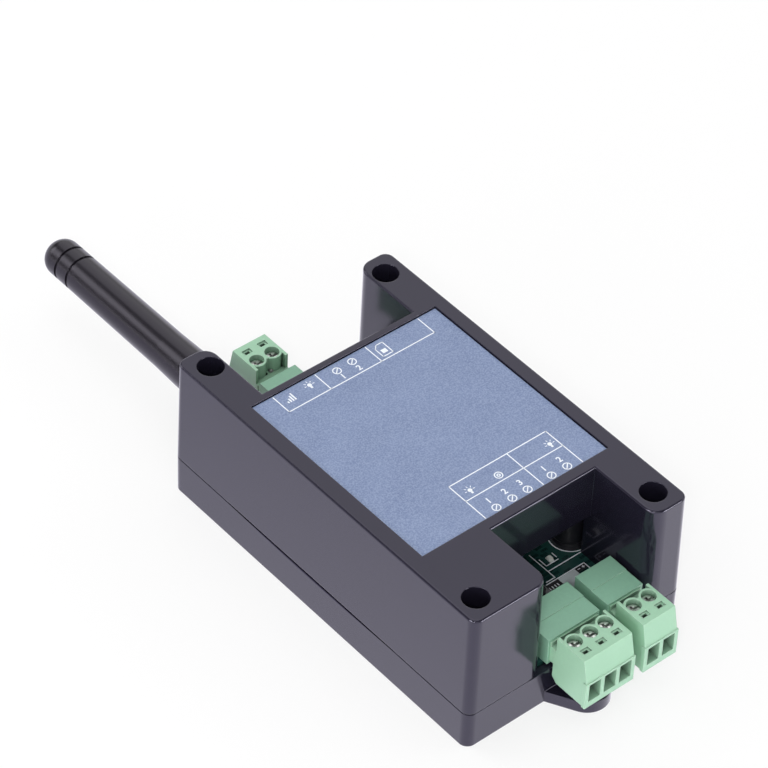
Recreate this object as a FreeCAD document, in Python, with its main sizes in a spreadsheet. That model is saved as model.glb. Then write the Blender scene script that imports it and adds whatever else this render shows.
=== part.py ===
import FreeCAD, Part
import math
import os
import re
import Sketcher

# A door opener box that is worked over the mobile network: a two-part case with a circuit board,
# pluggable terminals at both ends, a relay, a radio module and a screw-on antenna.
# X runs across the box, +Y to the antenna end, +Z up. The origin is the middle of the base's underside.
# All sizes are in millimetres and degrees.
driving_sizes = {
    # Case
    "box_width": 70.8,
    "box_length": 116.4,
    "box_height": 43.8,
    "base_height": 11.3,
    "shell_wall": 2.2,
    "top_wall": 2.4,
    "floor_thickness": 2.2,
    "corner_radius": 2.6,
    "draft_angle": 0.8,
    "seam_gap": 0.35,
    "edge_round": 0.6,
    "tongue_width": 1.0,
    "tongue_height": 1.0,
    "tongue_length": 60.0,
    "tongue_gap": 0.15,
    # Windows over the terminals
    "front_window_left": 10.9,
    "front_window_right": 23.4,
    "front_window_depth": 22.2,
    "rear_window_half": 24.7,
    "rear_window_depth": 22.7,
    "window_wall_foot": 27.0,
    "tower_round": 4.0,
    # Corner screws and their wells
    "screw_spacing_x": 57.8,
    "screw_spacing_y": 102.2,
    "well_radius": 3.6,
    "well_wall": 1.6,
    "well_seat": 4.0,
    "boss_radius": 4.2,
    "cover_screw_radius": 1.45,
    "cover_screw_head_radius": 2.8,
    "cover_screw_head": 2.0,
    "cover_screw_length": 10.0,
    "screw_hole_gap": 0.05,
    "cross_length": 2.8,
    "cross_width": 0.7,
    "cross_depth": 1.1,
    # Mounting ears
    "ear_hole_spacing": 125.4,
    "ear_hole_radius": 2.2,
    "ear_radius": 6.4,
    "ear_root_half": 10.5,
    "ear_thickness": 3.6,
    # Label
    "label_left": 29.8,
    "label_right": 30.5,
    "label_front_inset": 25.7,
    "label_rear_inset": 25.0,
    "label_thickness": 0.35,
    "label_recess": 0.8,
    "label_gap": 0.25,
    # Circuit board
    "board_seat_height": 10.4,
    "board_thickness": 1.6,
    "board_gap": 0.4,
    "board_notch_gap": 0.6,
    "board_clearance": 0.15,
    "standoff_radius": 3.0,
    "standoff_inset": 7.0,
    "standoff_front": 12.0,
    "standoff_rear": 30.0,
    "board_screw_radius": 1.2,
    "board_screw_head_radius": 2.4,
    "board_screw_head": 1.5,
    "board_screw_length": 7.0,
    "hole_gap": 0.1,
    # Pluggable terminals
    "terminal_pitch": 5.08,
    "relay_ways": 3,
    "power_ways": 2,
    "switch_ways": 2,
    "relay_terminal_x": -0.5,
    "power_terminal_x": 16.5,
    "switch_terminal_x": -1.4,
    "front_setback": 1.1,
    "rear_setback": 0.4,
    "header_depth": 12.0,
    "header_height": 8.6,
    "header_side": 0.79,
    "header_wall": 0.6,
    "header_floor": 0.8,
    "header_roof": 1.0,
    "header_socket": 9.0,
    "header_step": 0.25,
    "pin_width": 1.0,
    "pin_height": 4.3,
    "pin_tip": 1.8,
    "pin_back": 10.6,
    "pin_tail": 1.5,
    "plug_gap": 0.15,
    "plug_nose": 7.5,
    "plug_reach": 13.9,
    "plug_back": 1.6,
    "plug_side": 0.25,
    "plug_flare": 0.3,
    "plug_top": 10.8,
    "plug_bottom": 4.6,
    "plug_step": 3.9,
    "plug_slope": 1.5,
    "plug_top_back": 4.3,
    "plug_shelf": 6.1,
    "plug_shoulder": 0.3,
    "plug_scallop": 2.55,
    "plug_cheek": 0.8,
    "plug_cheek_back": 2.3,
    "plug_heel": 1.6,
    "terminal_screw_v": 5.5,
    "terminal_screw_head_radius": 1.9,
    "terminal_screw_head": 1.5,
    "terminal_screw_radius": 1.45,
    "terminal_screw_recess": 1.6,
    "terminal_screw_tip": 3.0,
    "terminal_screw_slot": 0.7,
    "wire_hole_width": 3.86,
    "wire_hole_low": 2.7,
    "wire_hole_high": 3.2,
    "test_slot_v": 9.5,
    "test_slot_width": 2.6,
    "test_slot_length": 1.7,
    "test_slot_depth": 0.5,
    "test_pin_width": 1.5,
    "test_pin_length": 0.9,
    "test_pin_depth": 2.2,
    "clamp_width": 4.1,
    "clamp_wall": 0.5,
    "clamp_nut": 1.3,
    "clamp_foot": 0.9,
    "clamp_travel": 2.5,
    "clamp_gap": 0.15,
    "tongue_bar_low": 1.9,
    "tongue_bar_thick": 0.8,
    "tongue_bar_width": 2.2,
    "spring_wall": 0.5,
    "spring_back": 6.9,
    "spring_front": 0.6,
    # Antenna and its socket
    "antenna_x": -16.6,
    "antenna_rise": 6.0,
    "jack_block_width": 6.4,
    "jack_block_length": 6.4,
    "jack_barrel_radius": 3.175,
    "jack_barrel_length": 12.4,
    "jack_bore_radius": 2.4,
    "jack_mouth": 2.5,
    "jack_leg_radius": 0.6,
    "jack_leg_spread": 2.2,
    "jack_contact_radius": 0.75,
    "jack_contact_bore": 3.6,
    "antenna_pin_radius": 0.45,
    "fit_gap": 0.05,
    "antenna_base_gap": 2.3,
    "antenna_length": 75.0,
    "antenna_flare_radius": 5.85,
    "antenna_flare_length": 24.0,
    "antenna_root_radius": 5.55,
    "antenna_tip_radius": 5.35,
    "antenna_groove_first": 8.2,
    "antenna_groove_second": 13.1,
    "antenna_groove_width": 0.9,
    "antenna_groove_depth": 0.4,
    "antenna_nut_radius": 4.0,
    "antenna_nut_length": 10.5,
    "antenna_nut_lip": 0.5,
    "antenna_nut_back": 2.7,
    "antenna_core_radius": 2.0,
    "antenna_core_flange": 2.85,
    "whip_radius": 0.75,
    "whip_length": 52.0,
    # Relay
    "relay_inset": 21.4,
    "relay_setback": 35.7,
    "relay_length": 19.0,
    "relay_width": 15.4,
    "relay_height": 15.0,
    "relay_case_wall": 0.8,
    "relay_base_thickness": 1.6,
    "relay_base_gap": 0.1,
    "coil_radius": 4.7,
    "coil_height": 7.0,
    "core_radius": 1.7,
    "core_cap_radius": 2.8,
    "core_cap": 0.7,
    "yoke_width": 8.0,
    "yoke_thickness": 1.2,
    "yoke_offset": 5.6,
    "pivot_radius": 0.35,
    "armature_gap": 0.5,
    "armature_thickness": 1.0,
    "armature_reach": 12.6,
    "contact_radius": 0.8,
    "contact_gap": 0.6,
    "blade_thickness": 0.5,
    "blade_width": 3.0,
    "relay_pin_width": 1.0,
    # Other parts on the board
    "gsm_x": -13.0,
    "gsm_y": 12.0,
    "gsm_side": 24.0,
    "gsm_board": 0.8,
    "gsm_shield_side": 21.0,
    "gsm_shield_height": 2.2,
    "gsm_shield_wall": 0.25,
    "controller_inset": 23.4,
    "controller_y": 6.0,
    "controller_side": 7.0,
    "controller_height": 1.4,
    "controller_lead": 1.0,
    "power_capacitor_inset": 10.6,
    "power_capacitor_gap": 0.9,
    "power_capacitor_radius": 5.0,
    "power_capacitor_height": 12.5,
    "filter_capacitor_inset": 11.4,
    "filter_capacitor_y": 20.0,
    "filter_capacitor_radius": 4.0,
    "filter_capacitor_height": 10.0,
    "capacitor_pleat": 0.35,
    "capacitor_lead_radius": 0.3,
    "capacitor_lead_spread": 2.5,
    "inductor_inset": 13.4,
    "inductor_y": -2.0,
    "inductor_side": 10.0,
    "inductor_height": 4.8,
    "regulator_x": 9.5,
    "regulator_y": -9.0,
    "regulator_length": 4.9,
    "regulator_width": 3.9,
    "regulator_height": 1.6,
    "diode_x": 9.0,
    "diode_setback": 38.2,
    "diode_length": 4.4,
    "diode_width": 3.6,
    "diode_height": 2.3,
    "run_led_x": 15.5,
    "run_led_setback": 27.3,
    "relay_led_x": -5.9,
    "relay_led_setback": 19.7,
    "signal_led_x": -9.5,
    "signal_led_y": 40.0,
    "led_length": 2.0,
    "led_width": 1.25,
    "led_height": 0.8,
    "reset_x": 3.1,
    "reset_setback": 17.8,
    "reset_side": 6.0,
    "reset_height": 3.4,
    "reset_button_radius": 1.7,
    "reset_button_rise": 1.6,
    "reset_travel": 0.3,
    "sim_x": 14.0,
    "sim_rear_gap": 0.6,
    "sim_socket_width": 12.0,
    "sim_socket_length": 14.0,
    "sim_floor": 0.5,
    "sim_shell_wall": 0.2,
    "sim_card_width": 8.8,
    "sim_card_length": 12.3,
    "sim_card_thickness": 0.67,
    "sim_card_proud": 1.0,
}

doc = FreeCAD.newDocument("door_opener")
sheet = doc.addObject("Spreadsheet::Sheet", "sizes")
for row, (name, value) in enumerate(driving_sizes.items(), start=1):
    sheet.set(f"A{row}", name)
    sheet.set(f"B{row}", str(value))
    sheet.setAlias(f"B{row}", name)
doc.recompute()

# Places that several pieces share, as expressions in the named sizes.
board_top = "(board_seat_height + board_thickness)"
half_width = "box_width/2"
half_length = "box_length/2"
seam = "(base_height + seam_gap)"
cover_height = "(box_height - base_height - seam_gap)"
inner_x = "(box_width/2 - shell_wall)"
inner_y = "(box_length/2 - shell_wall)"
well_tube = "(well_radius + well_wall)"
board_x = "(box_width/2 - shell_wall - board_gap)"
board_y = "(box_length/2 - shell_wall - board_gap)"
antenna_z = "(board_seat_height + board_thickness + antenna_rise)"
front_wall = "(box_length/2 - front_window_depth)"
rear_wall = "(box_length/2 - rear_window_depth)"
label_front = "(box_length/2 - label_front_inset)"
label_rear = "(box_length/2 - label_rear_inset)"
relay_x = "(relay_inset - box_width/2)"

nodes = []


def number(name):
    return float(sheet.get(name))


def bound(words):
    """Puts the sheet's name before each named size."""
    def prefixed(word):
        return f"sizes.{word[0]}" if word[0] in driving_sizes else word[0]

    return re.sub(r"[a-z]\w*", prefixed, words)


def bind(item, property_name, words):
    item.setExpression(property_name, bound(words))


def put(item, x="0", y="0", z="0"):
    for letter, words in zip("xyz", (x, y, z)):
        bind(item, f"Placement.Base.{letter}", words)
    return item


def turn(item, axis, angle):
    item.Placement = FreeCAD.Placement(FreeCAD.Vector(), FreeCAD.Rotation(FreeCAD.Vector(*axis), angle))
    return item


def block(name, x, y, z):
    item = doc.addObject("Part::Box", name)
    for side, (low, high) in zip(("Length", "Width", "Height"), (x, y, z)):
        bind(item, side, f"({high}) - ({low})")
    return put(item, x[0], y[0], z[0])


def around(middle, length):
    """The stretch of a given length round its middle."""
    return (f"{middle} - ({length})/2", f"{middle} + ({length})/2")


def centred_block(name, x, y, length, width, z):
    return block(name, around(x, length), around(y, width), z)


def rod(name, radius, low, high, x="0", y="0"):
    """A round rod along Z."""
    item = doc.addObject("Part::Cylinder", name)
    bind(item, "Radius", radius)
    bind(item, "Height", f"({high}) - ({low})")
    return put(item, x, y, low)


def rod_along_y(name, radius, low, high, x="0", z="0"):
    item = doc.addObject("Part::Cylinder", name)
    bind(item, "Radius", radius)
    bind(item, "Height", f"({high}) - ({low})")
    return put(turn(item, (1, 0, 0), -90), x, low, z)


def join(name, pieces):
    item = doc.addObject("Part::MultiFuse", name)
    item.Shapes = pieces
    item.Refine = True
    return item


def carve(name, base, tools):
    item = doc.addObject("Part::Cut", name)
    item.Base = base
    item.Tool = tools[0] if len(tools) == 1 else join(f"{name}_tools", tools)
    item.Refine = True
    return item


def group(name, pieces):
    item = doc.addObject("Part::Compound", name)
    item.Links = pieces
    return item


def finish(item, label):
    item.Label = label
    nodes.append(item)
    return item


def new_body(name):
    return doc.addObject("PartDesign::Body", name)


def new_sketch(body, name, height="0", role="XY_Plane"):
    sketch = body.newObject("Sketcher::SketchObject", name)
    plane = next(item for item in body.Origin.OriginFeatures if item.Role == role)
    sketch.AttachmentSupport = [(plane, "")]
    sketch.MapMode = "FlatFace"
    bind(sketch, "AttachmentOffset.Base.z", height)
    return sketch


def fix_point(sketch, geometry, place, x, y):
    for kind, words in (("DistanceX", x), ("DistanceY", y)):
        index = sketch.addConstraint(Sketcher.Constraint(kind, -1, 1, geometry, place, 1.0))
        bind(sketch, f"Constraints[{index}]", words)


def add_polygon(sketch, points):
    """A closed outline whose corners are each held by two distances from the origin."""
    count = len(points)
    angles = [2 * math.pi * index / count for index in range(count + 1)]
    corners = [FreeCAD.Vector(10 * math.cos(angle), 10 * math.sin(angle), 0) for angle in angles]
    first = sketch.GeometryCount
    for start, end in zip(corners, corners[1:]):
        sketch.addGeometry(Part.LineSegment(start, end), False)
    for index in range(count):
        following = first + (index + 1) % count
        sketch.addConstraint(Sketcher.Constraint("Coincident", first + index, 2, following, 1))
    for index, (x, y) in enumerate(points):
        fix_point(sketch, first + index, 1, x, y)


def add_rectangle(sketch, x, y):
    add_polygon(sketch, [(x[0], y[0]), (x[1], y[0]), (x[1], y[1]), (x[0], y[1])])


def add_circle(sketch, x, y, radius):
    geometry = sketch.addGeometry(Part.Circle(FreeCAD.Vector(), FreeCAD.Vector(0, 0, 1), 1.0), False)
    fix_point(sketch, geometry, 3, x, y)
    index = sketch.addConstraint(Sketcher.Constraint("Radius", geometry, 1.0))
    bind(sketch, f"Constraints[{index}]", radius)


def grow(body, name, sketch, length, upward=True):
    feature = body.newObject("PartDesign::Pad", name)
    feature.Profile = sketch
    feature.Reversed = not upward
    bind(feature, "Length", length)
    return feature


def sink(body, name, sketch, length, upward=False):
    feature = body.newObject("PartDesign::Pocket", name)
    feature.Profile = sketch
    feature.Reversed = upward
    bind(feature, "Length", length)
    return feature


def round_edges(body, name, radius, wanted):
    """Rounds the edges of the body's last feature that the wanted test picks."""
    doc.recompute()
    base = body.Tip
    picked = [f"Edge{index}" for index, edge in enumerate(base.Shape.Edges, start=1) if wanted(edge)]
    feature = body.newObject("PartDesign::Fillet", name)
    feature.Base = (base, picked)
    bind(feature, "Radius", radius)
    return feature


def steep(edge):
    """An edge that runs up the height of a wall."""
    box = edge.BoundBox
    return box.ZLength > 3 * max(box.XLength, box.YLength, 0.1) and len(edge.Vertexes) == 2


def revolve(body, name, points):
    """Turns an outline of (radius, height) corners about the body's Z axis."""
    sketch = new_sketch(body, f"{name}_outline", role="XZ_Plane")
    add_polygon(sketch, points)
    feature = body.newObject("PartDesign::Revolution", name)
    feature.Profile = sketch
    feature.ReferenceAxis = (sketch, ["V_Axis"])
    feature.Angle = 360
    return feature


def span(side, near, far):
    """The stretch from near to far, on the chosen side of zero."""
    return (f"-({far})", f"-({near})") if side < 0 else (near, far)


def corner_places(x, y):
    return [(f"{side_x}*({x})", f"{side_y}*({y})") for side_x in (-1, 1) for side_y in (-1, 1)]


screw_places = corner_places("screw_spacing_x/2", "screw_spacing_y/2")
standoff_places = [(f"{side}*(box_width/2 - standoff_inset)", y)
                   for side in (-1, 1) for y in ("-standoff_front", "standoff_rear")]


def from_front(name):
    """The Y of a part that keeps its distance from the front end of the box."""
    return f"({name}_setback - box_length/2)"


def from_right(name):
    """The X of a part that keeps its distance from the right side of the box."""
    return f"(box_width/2 - {name}_inset)"


# Base of the case

def add_ear(body, name, side):
    """A flat ear with a round end, whose straight sides run tangent to the round."""
    root = f"({half_length} - shell_wall/2)"
    reach = f"(ear_hole_spacing/2 - {root})"
    angle = f"(acos(ear_radius/hypot(ear_root_half; {reach})) - atan2({reach}; ear_root_half))"
    touch_x = f"ear_radius*cos({angle})"
    touch_y = f"{side}*(ear_hole_spacing/2 + ear_radius*sin({angle}))"
    plate = new_sketch(body, f"{name}_plate")
    add_polygon(plate, [
        ("-ear_root_half", f"{side}*{root}"), (f"-{touch_x}", touch_y), (touch_x, touch_y),
        ("ear_root_half", f"{side}*{root}"),
    ])
    grow(body, f"{name}_plate_pad", plate, "ear_thickness")
    end = new_sketch(body, f"{name}_end")
    add_circle(end, "0", f"{side}*ear_hole_spacing/2", "ear_radius")
    grow(body, f"{name}_end_pad", end, "ear_thickness")


def make_base_shell():
    body = new_body("base_body")
    outline = new_sketch(body, "base_outline")
    add_rectangle(outline, (f"-{half_width}", half_width), (f"-{half_length}", half_length))
    grow(body, "base_block", outline, "base_height")
    round_edges(body, "base_corners", "corner_radius", steep)
    add_ear(body, "front_ear", -1)
    add_ear(body, "rear_ear", 1)
    hollow = new_sketch(body, "base_hollow_outline", "base_height")
    add_rectangle(hollow, (f"-{inner_x}", inner_x), (f"-{inner_y}", inner_y))
    sink(body, "base_hollow", hollow, "base_height - floor_thickness")
    bosses = new_sketch(body, "boss_circles", "floor_thickness")
    for x, y in screw_places:
        add_circle(bosses, x, y, "boss_radius")
    grow(body, "bosses", bosses, "base_height - floor_thickness")
    standoffs = new_sketch(body, "standoff_circles", "floor_thickness")
    for x, y in standoff_places:
        add_circle(standoffs, x, y, "standoff_radius")
    grow(body, "standoffs", standoffs, "board_seat_height - floor_thickness")
    tongues = new_sketch(body, "tongue_outlines", "base_height")
    tongue_y = ("-tongue_length/2", "tongue_length/2")
    for side in (-1, 1):
        add_rectangle(tongues, span(side, inner_x, f"{inner_x} + tongue_width"), tongue_y)
    grow(body, "tongues", tongues, "tongue_height")
    boss_holes = new_sketch(body, "boss_hole_circles", "base_height")
    for x, y in screw_places:
        add_circle(boss_holes, x, y, "cover_screw_radius + screw_hole_gap")
    sink(body, "boss_holes", boss_holes, "cover_screw_length - well_seat + 1")
    standoff_holes = new_sketch(body, "standoff_hole_circles", "board_seat_height")
    for x, y in standoff_places:
        add_circle(standoff_holes, x, y, "board_screw_radius + screw_hole_gap")
    sink(body, "standoff_holes", standoff_holes, "board_screw_length - board_thickness + 0.8")
    ear_holes = new_sketch(body, "ear_hole_circles", "ear_thickness")
    for side in (-1, 1):
        add_circle(ear_holes, "0", f"{side}*ear_hole_spacing/2", "ear_hole_radius")
    sink(body, "ear_holes", ear_holes, "ear_thickness")
    finish(body, "base_shell")


# Cover of the case

def board_points(spread):
    """The board's outline, notched round the corner screws and grown by the given spread."""
    x, y = f"({board_x} + {spread})", f"({board_y} + {spread})"
    cut_x = f"(screw_spacing_x/2 - {well_tube} - board_notch_gap + {spread})"
    cut_y = f"(screw_spacing_y/2 - {well_tube} - board_notch_gap + {spread})"
    return [
        (f"-{cut_x}", f"-{y}"), (cut_x, f"-{y}"), (cut_x, f"-{cut_y}"), (x, f"-{cut_y}"),
        (x, cut_y), (cut_x, cut_y), (cut_x, y), (f"-{cut_x}", y),
        (f"-{cut_x}", cut_y), (f"-{x}", cut_y), (f"-{x}", f"-{cut_y}"), (f"-{cut_x}", f"-{cut_y}"),
    ]


def cavity_points():
    """The room inside the cover: the full width between the windows and an arm into each tower."""
    left = f"-{inner_x}"
    right = inner_x
    front = f"-({front_wall} - shell_wall)"
    rear = f"({rear_wall} - shell_wall)"
    front_arm = f"-(screw_spacing_y/2 - {well_tube})"
    rear_arm = f"(screw_spacing_y/2 - {well_tube})"
    rear_side = "(rear_window_half + shell_wall)"
    tower_side = "-(front_window_left + shell_wall)"
    return [
        (left, f"-{inner_y}"), (tower_side, f"-{inner_y}"), (tower_side, front),
        ("front_window_right + shell_wall", front), ("front_window_right + shell_wall", front_arm),
        (right, front_arm), (right, rear_arm),
        (rear_side, rear_arm), (rear_side, rear), (f"-{rear_side}", rear), (f"-{rear_side}", rear_arm),
        (left, rear_arm),
    ]


def make_top_cover():
    body = new_body("cover_body")
    outline = new_sketch(body, "cover_outline", seam)
    add_rectangle(outline, (f"-{half_width}", half_width), (f"-{half_length}", half_length))
    walls = grow(body, "cover_block", outline, cover_height)
    bind(walls, "TaperAngle", "-draft_angle")
    round_edges(body, "cover_corners", "corner_radius", steep)
    cavity = new_sketch(body, "cavity_outline", seam)
    add_polygon(cavity, cavity_points())
    sink(body, "cavity", cavity, f"{cover_height} - top_wall", upward=True)
    tubes = new_sketch(body, "well_tube_circles", "base_height")
    for x, y in screw_places:
        add_circle(tubes, x, y, well_tube)
    grow(body, "well_tubes", tubes, "box_height - base_height - top_wall/2")
    windows = new_sketch(body, "window_outlines", "box_height")
    beyond = f"({half_length} + corner_radius)"
    add_rectangle(windows, ("-front_window_left", "front_window_right"), (f"-{beyond}", f"-{front_wall}"))
    add_rectangle(windows, ("-rear_window_half", "rear_window_half"), (rear_wall, beyond))
    sink(body, "windows", windows, "box_height - base_height + seam_gap")
    window_sides = [(-number("front_window_left"), -1), (number("front_window_right"), -1)]
    window_sides += [(-number("rear_window_half"), 1), (number("rear_window_half"), 1)]

    def tower_corner(edge):
        middle = edge.CenterOfMass
        near_end = abs(abs(middle.y) - number("box_length") / 2) < 1
        at_side = any(abs(middle.x - x) < 0.2 and middle.y * side > 0 for x, side in window_sides)
        return steep(edge) and near_end and at_side

    round_edges(body, "tower_corners", "tower_round", tower_corner)

    def top_rim(edge):
        return edge.BoundBox.ZMin > number("box_height") - 0.01

    round_edges(body, "top_rims", "edge_round", top_rim)
    under = new_sketch(body, "under_window_outlines", seam)
    add_rectangle(under, ("-front_window_left", "front_window_right"),
                  (f"-({front_wall} + 1)", f"-({front_wall} - shell_wall - 1)"))
    add_rectangle(under, ("-rear_window_half", "rear_window_half"),
                  (f"{rear_wall} - shell_wall - 1", f"{rear_wall} + 1"))
    sink(body, "under_windows", under, f"window_wall_foot - {seam}", upward=True)
    rabbet = new_sketch(body, "rabbet_outline", seam)
    rabbet_half = f"({inner_x} + tongue_width + tongue_gap)"
    add_rectangle(rabbet, (f"-{rabbet_half}", rabbet_half), ("-(tongue_length/2 + 1)", "tongue_length/2 + 1"))
    sink(body, "rabbet", rabbet, "tongue_height", upward=True)
    relief = new_sketch(body, "board_relief_outline", seam)
    add_polygon(relief, board_points("board_gap"))
    sink(body, "board_relief", relief, f"{board_top} + board_clearance - {seam}", upward=True)
    wells = new_sketch(body, "well_circles", "box_height")
    for x, y in screw_places:
        add_circle(wells, x, y, "well_radius")
    sink(body, "wells", wells, "box_height - base_height - well_seat")
    shanks = new_sketch(body, "cover_hole_circles", "base_height + well_seat")
    for x, y in screw_places:
        add_circle(shanks, x, y, "cover_screw_radius + 2*screw_hole_gap")
    sink(body, "cover_holes", shanks, "well_seat")
    recess = new_sketch(body, "recess_outline", "box_height")
    add_rectangle(recess, ("-(label_left + label_gap)", "label_right + label_gap"),
                  (f"-({label_front} + label_gap)", f"{label_rear} + label_gap"))
    sink(body, "recess", recess, "label_recess")
    finish(body, "top_cover")


def make_label_plate():
    body = new_body("label_body")
    outline = new_sketch(body, "label_outline", "box_height - label_recess")
    add_rectangle(outline, ("-label_left", "label_right"), (f"-{label_front}", label_rear))
    grow(body, "label_sheet", outline, "label_thickness")
    finish(body, "label_plate")


def make_screw_group(label, places, seat, radius, length, head_radius, head, cross):
    """Pan head screws with a cross recess, standing point down on one seat height."""
    screws = []
    for index, (x, y) in enumerate(places, start=1):
        name = f"{label}_{index}"
        shank = rod(f"{name}_shank", radius, f"{seat} - {length}", seat, x, y)
        cap = rod(f"{name}_cap", head_radius, seat, f"{seat} + {head}", x, y)
        rounded = doc.addObject("Part::Fillet", f"{name}_head")
        rounded.Base = cap
        doc.recompute()
        rim = [place for place, edge in enumerate(cap.Shape.Edges, start=1)
               if edge.Closed and edge.BoundBox.ZMin > cap.Shape.BoundBox.ZMax - 0.01]
        corner = 0.45 * cap.Height.Value
        rounded.Edges = [(place, corner, corner) for place in rim]
        deep = (f"{seat} + {head} - cross_depth*({cross})", f"{seat} + {head} + 1")
        bars = [centred_block(f"{name}_bar_x", x, y, f"cross_length*({cross})", "cross_width", deep)]
        bars.append(centred_block(f"{name}_bar_y", x, y, "cross_width", f"cross_length*({cross})", deep))
        screws.append(carve(name, join(f"{name}_blank", [shank, rounded]), bars))
    finish(group(f"{label}_group", screws), label)


# Circuit board

def terminal_frames():
    """Each terminal: its name, ways, middle, the plane of its header's mouth and the way it faces."""
    front = f"-({half_length} - front_setback)"
    rear = f"({half_length} - rear_setback)"
    return [
        ("relay", "relay_ways", "relay_terminal_x", front, -1),
        ("power", "power_ways", "power_terminal_x", front, -1),
        ("switch", "switch_ways", "switch_terminal_x", rear, 1),
    ]


def way_offsets(ways):
    """The sideways place of each way of a terminal, from its middle."""
    return [f"({index} - ({ways} - 1)/2)*terminal_pitch" for index in range(int(number(ways)))]


relay_pins = [("relay_length/2 - 2", "relay_width/2 - 2"), ("relay_length/2 - 2", "2 - relay_width/2"),
              ("2 - relay_length/2", "relay_width/2 - 2"), ("2 - relay_length/2", "2 - relay_width/2"),
              ("2 - relay_length/2", "0")]
behind_window = f"-({front_wall} - shell_wall - power_capacitor_gap - power_capacitor_radius)"
capacitor_places = [("power_capacitor", from_right("power_capacitor"), behind_window),
                    ("filter_capacitor", from_right("filter_capacitor"), "filter_capacitor_y")]


def make_circuit_board():
    body = new_body("board_body")
    outline = new_sketch(body, "board_outline", "board_seat_height")
    add_polygon(outline, board_points("0"))
    grow(body, "board_sheet", outline, "board_thickness")
    holes = new_sketch(body, "board_hole_circles", board_top)
    for name, ways, middle, face, side in terminal_frames():
        for offset in way_offsets(ways):
            add_circle(holes, f"{middle} + {side}*{offset}", f"{face} - {side}*pin_back",
                       "0.72*pin_width + hole_gap")
    for x, y in standoff_places:
        add_circle(holes, x, y, "board_screw_radius + hole_gap")
    for x, y in relay_pins:
        add_circle(holes, f"{relay_x} + {x}", f"{from_front('relay')} + {y}",
                   "0.72*relay_pin_width + hole_gap")
    for x, y in jack_legs():
        add_circle(holes, x, y, "jack_leg_radius + hole_gap")
    add_circle(holes, "antenna_x", jack_middle, "antenna_pin_radius + hole_gap")
    for name, x, y in capacitor_places:
        for side in (-1, 1):
            add_circle(holes, f"{x} + {side}*capacitor_lead_spread", y, "capacitor_lead_radius + hole_gap")
    sink(body, "board_holes", holes, "board_thickness")
    finish(body, "circuit_board")


# Pluggable terminals. Each is drawn with its header's mouth at the origin, facing +Y on the board's top.

def place_terminal(item, frame, u="0", v="0"):
    """Sets a terminal's piece on the board, turned to face out of its end of the box."""
    middle, face, side = frame[2:]
    turn(item, (0, 0, 1), 0 if side > 0 else 180)
    return put(item, f"{middle} + {side}*({u})", f"{face} + {side}*({v})", board_top)


def make_header(frame):
    name, ways = frame[:2]
    half = f"({ways}*terminal_pitch/2 + header_side)"
    shell = block(f"{name}_header_block", (f"-{half}", half), ("-header_depth", "0"), ("0", "header_height"))
    socket_half = f"({half} - header_wall)"
    tools = [block(f"{name}_header_socket", (f"-{socket_half}", socket_half), ("-header_socket", "1"),
                   ("header_floor", "header_height - header_roof"))]
    tools.append(block(f"{name}_header_ledge", (f"-{half} - 1", f"{half} + 1"), ("-header_depth/2", "1"),
                       ("header_height - header_step", "header_height + 1")))
    pins = []
    for index, offset in enumerate(way_offsets(ways), start=1):
        for purpose in ("pin", "channel"):
            piece = f"{name}_{purpose}_{index}"
            side = (f"{offset} - pin_width/2", f"{offset} + pin_width/2")
            prong = block(f"{piece}_prong", side, ("-pin_back - pin_width/2", "-pin_tip"),
                          ("pin_height - pin_width/2", "pin_height + pin_width/2"))
            tail = block(f"{piece}_tail", side, ("-pin_back - pin_width/2", "-pin_back + pin_width/2"),
                         ("-board_thickness - pin_tail", "pin_height + pin_width/2"))
            if purpose == "pin":
                pins.append(join(piece, [prong, tail]))
            else:
                tools += [prong, tail]
    finish(place_terminal(carve(f"{name}_header_part", shell, tools), frame), f"{name}_header")
    finish(place_terminal(group(f"{name}_header_pin_group", pins), frame), f"{name}_header_pins")


clamp_rest_top = "(tongue_bar_low + tongue_bar_thick + 0.2 + clamp_nut)"
clamp_rest_low = "(-plug_bottom + 1.6)"
chamber_top = f"({clamp_rest_top} + clamp_travel + 0.2)"
head_seat = "(plug_top - terminal_screw_recess - terminal_screw_head)"


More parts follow.
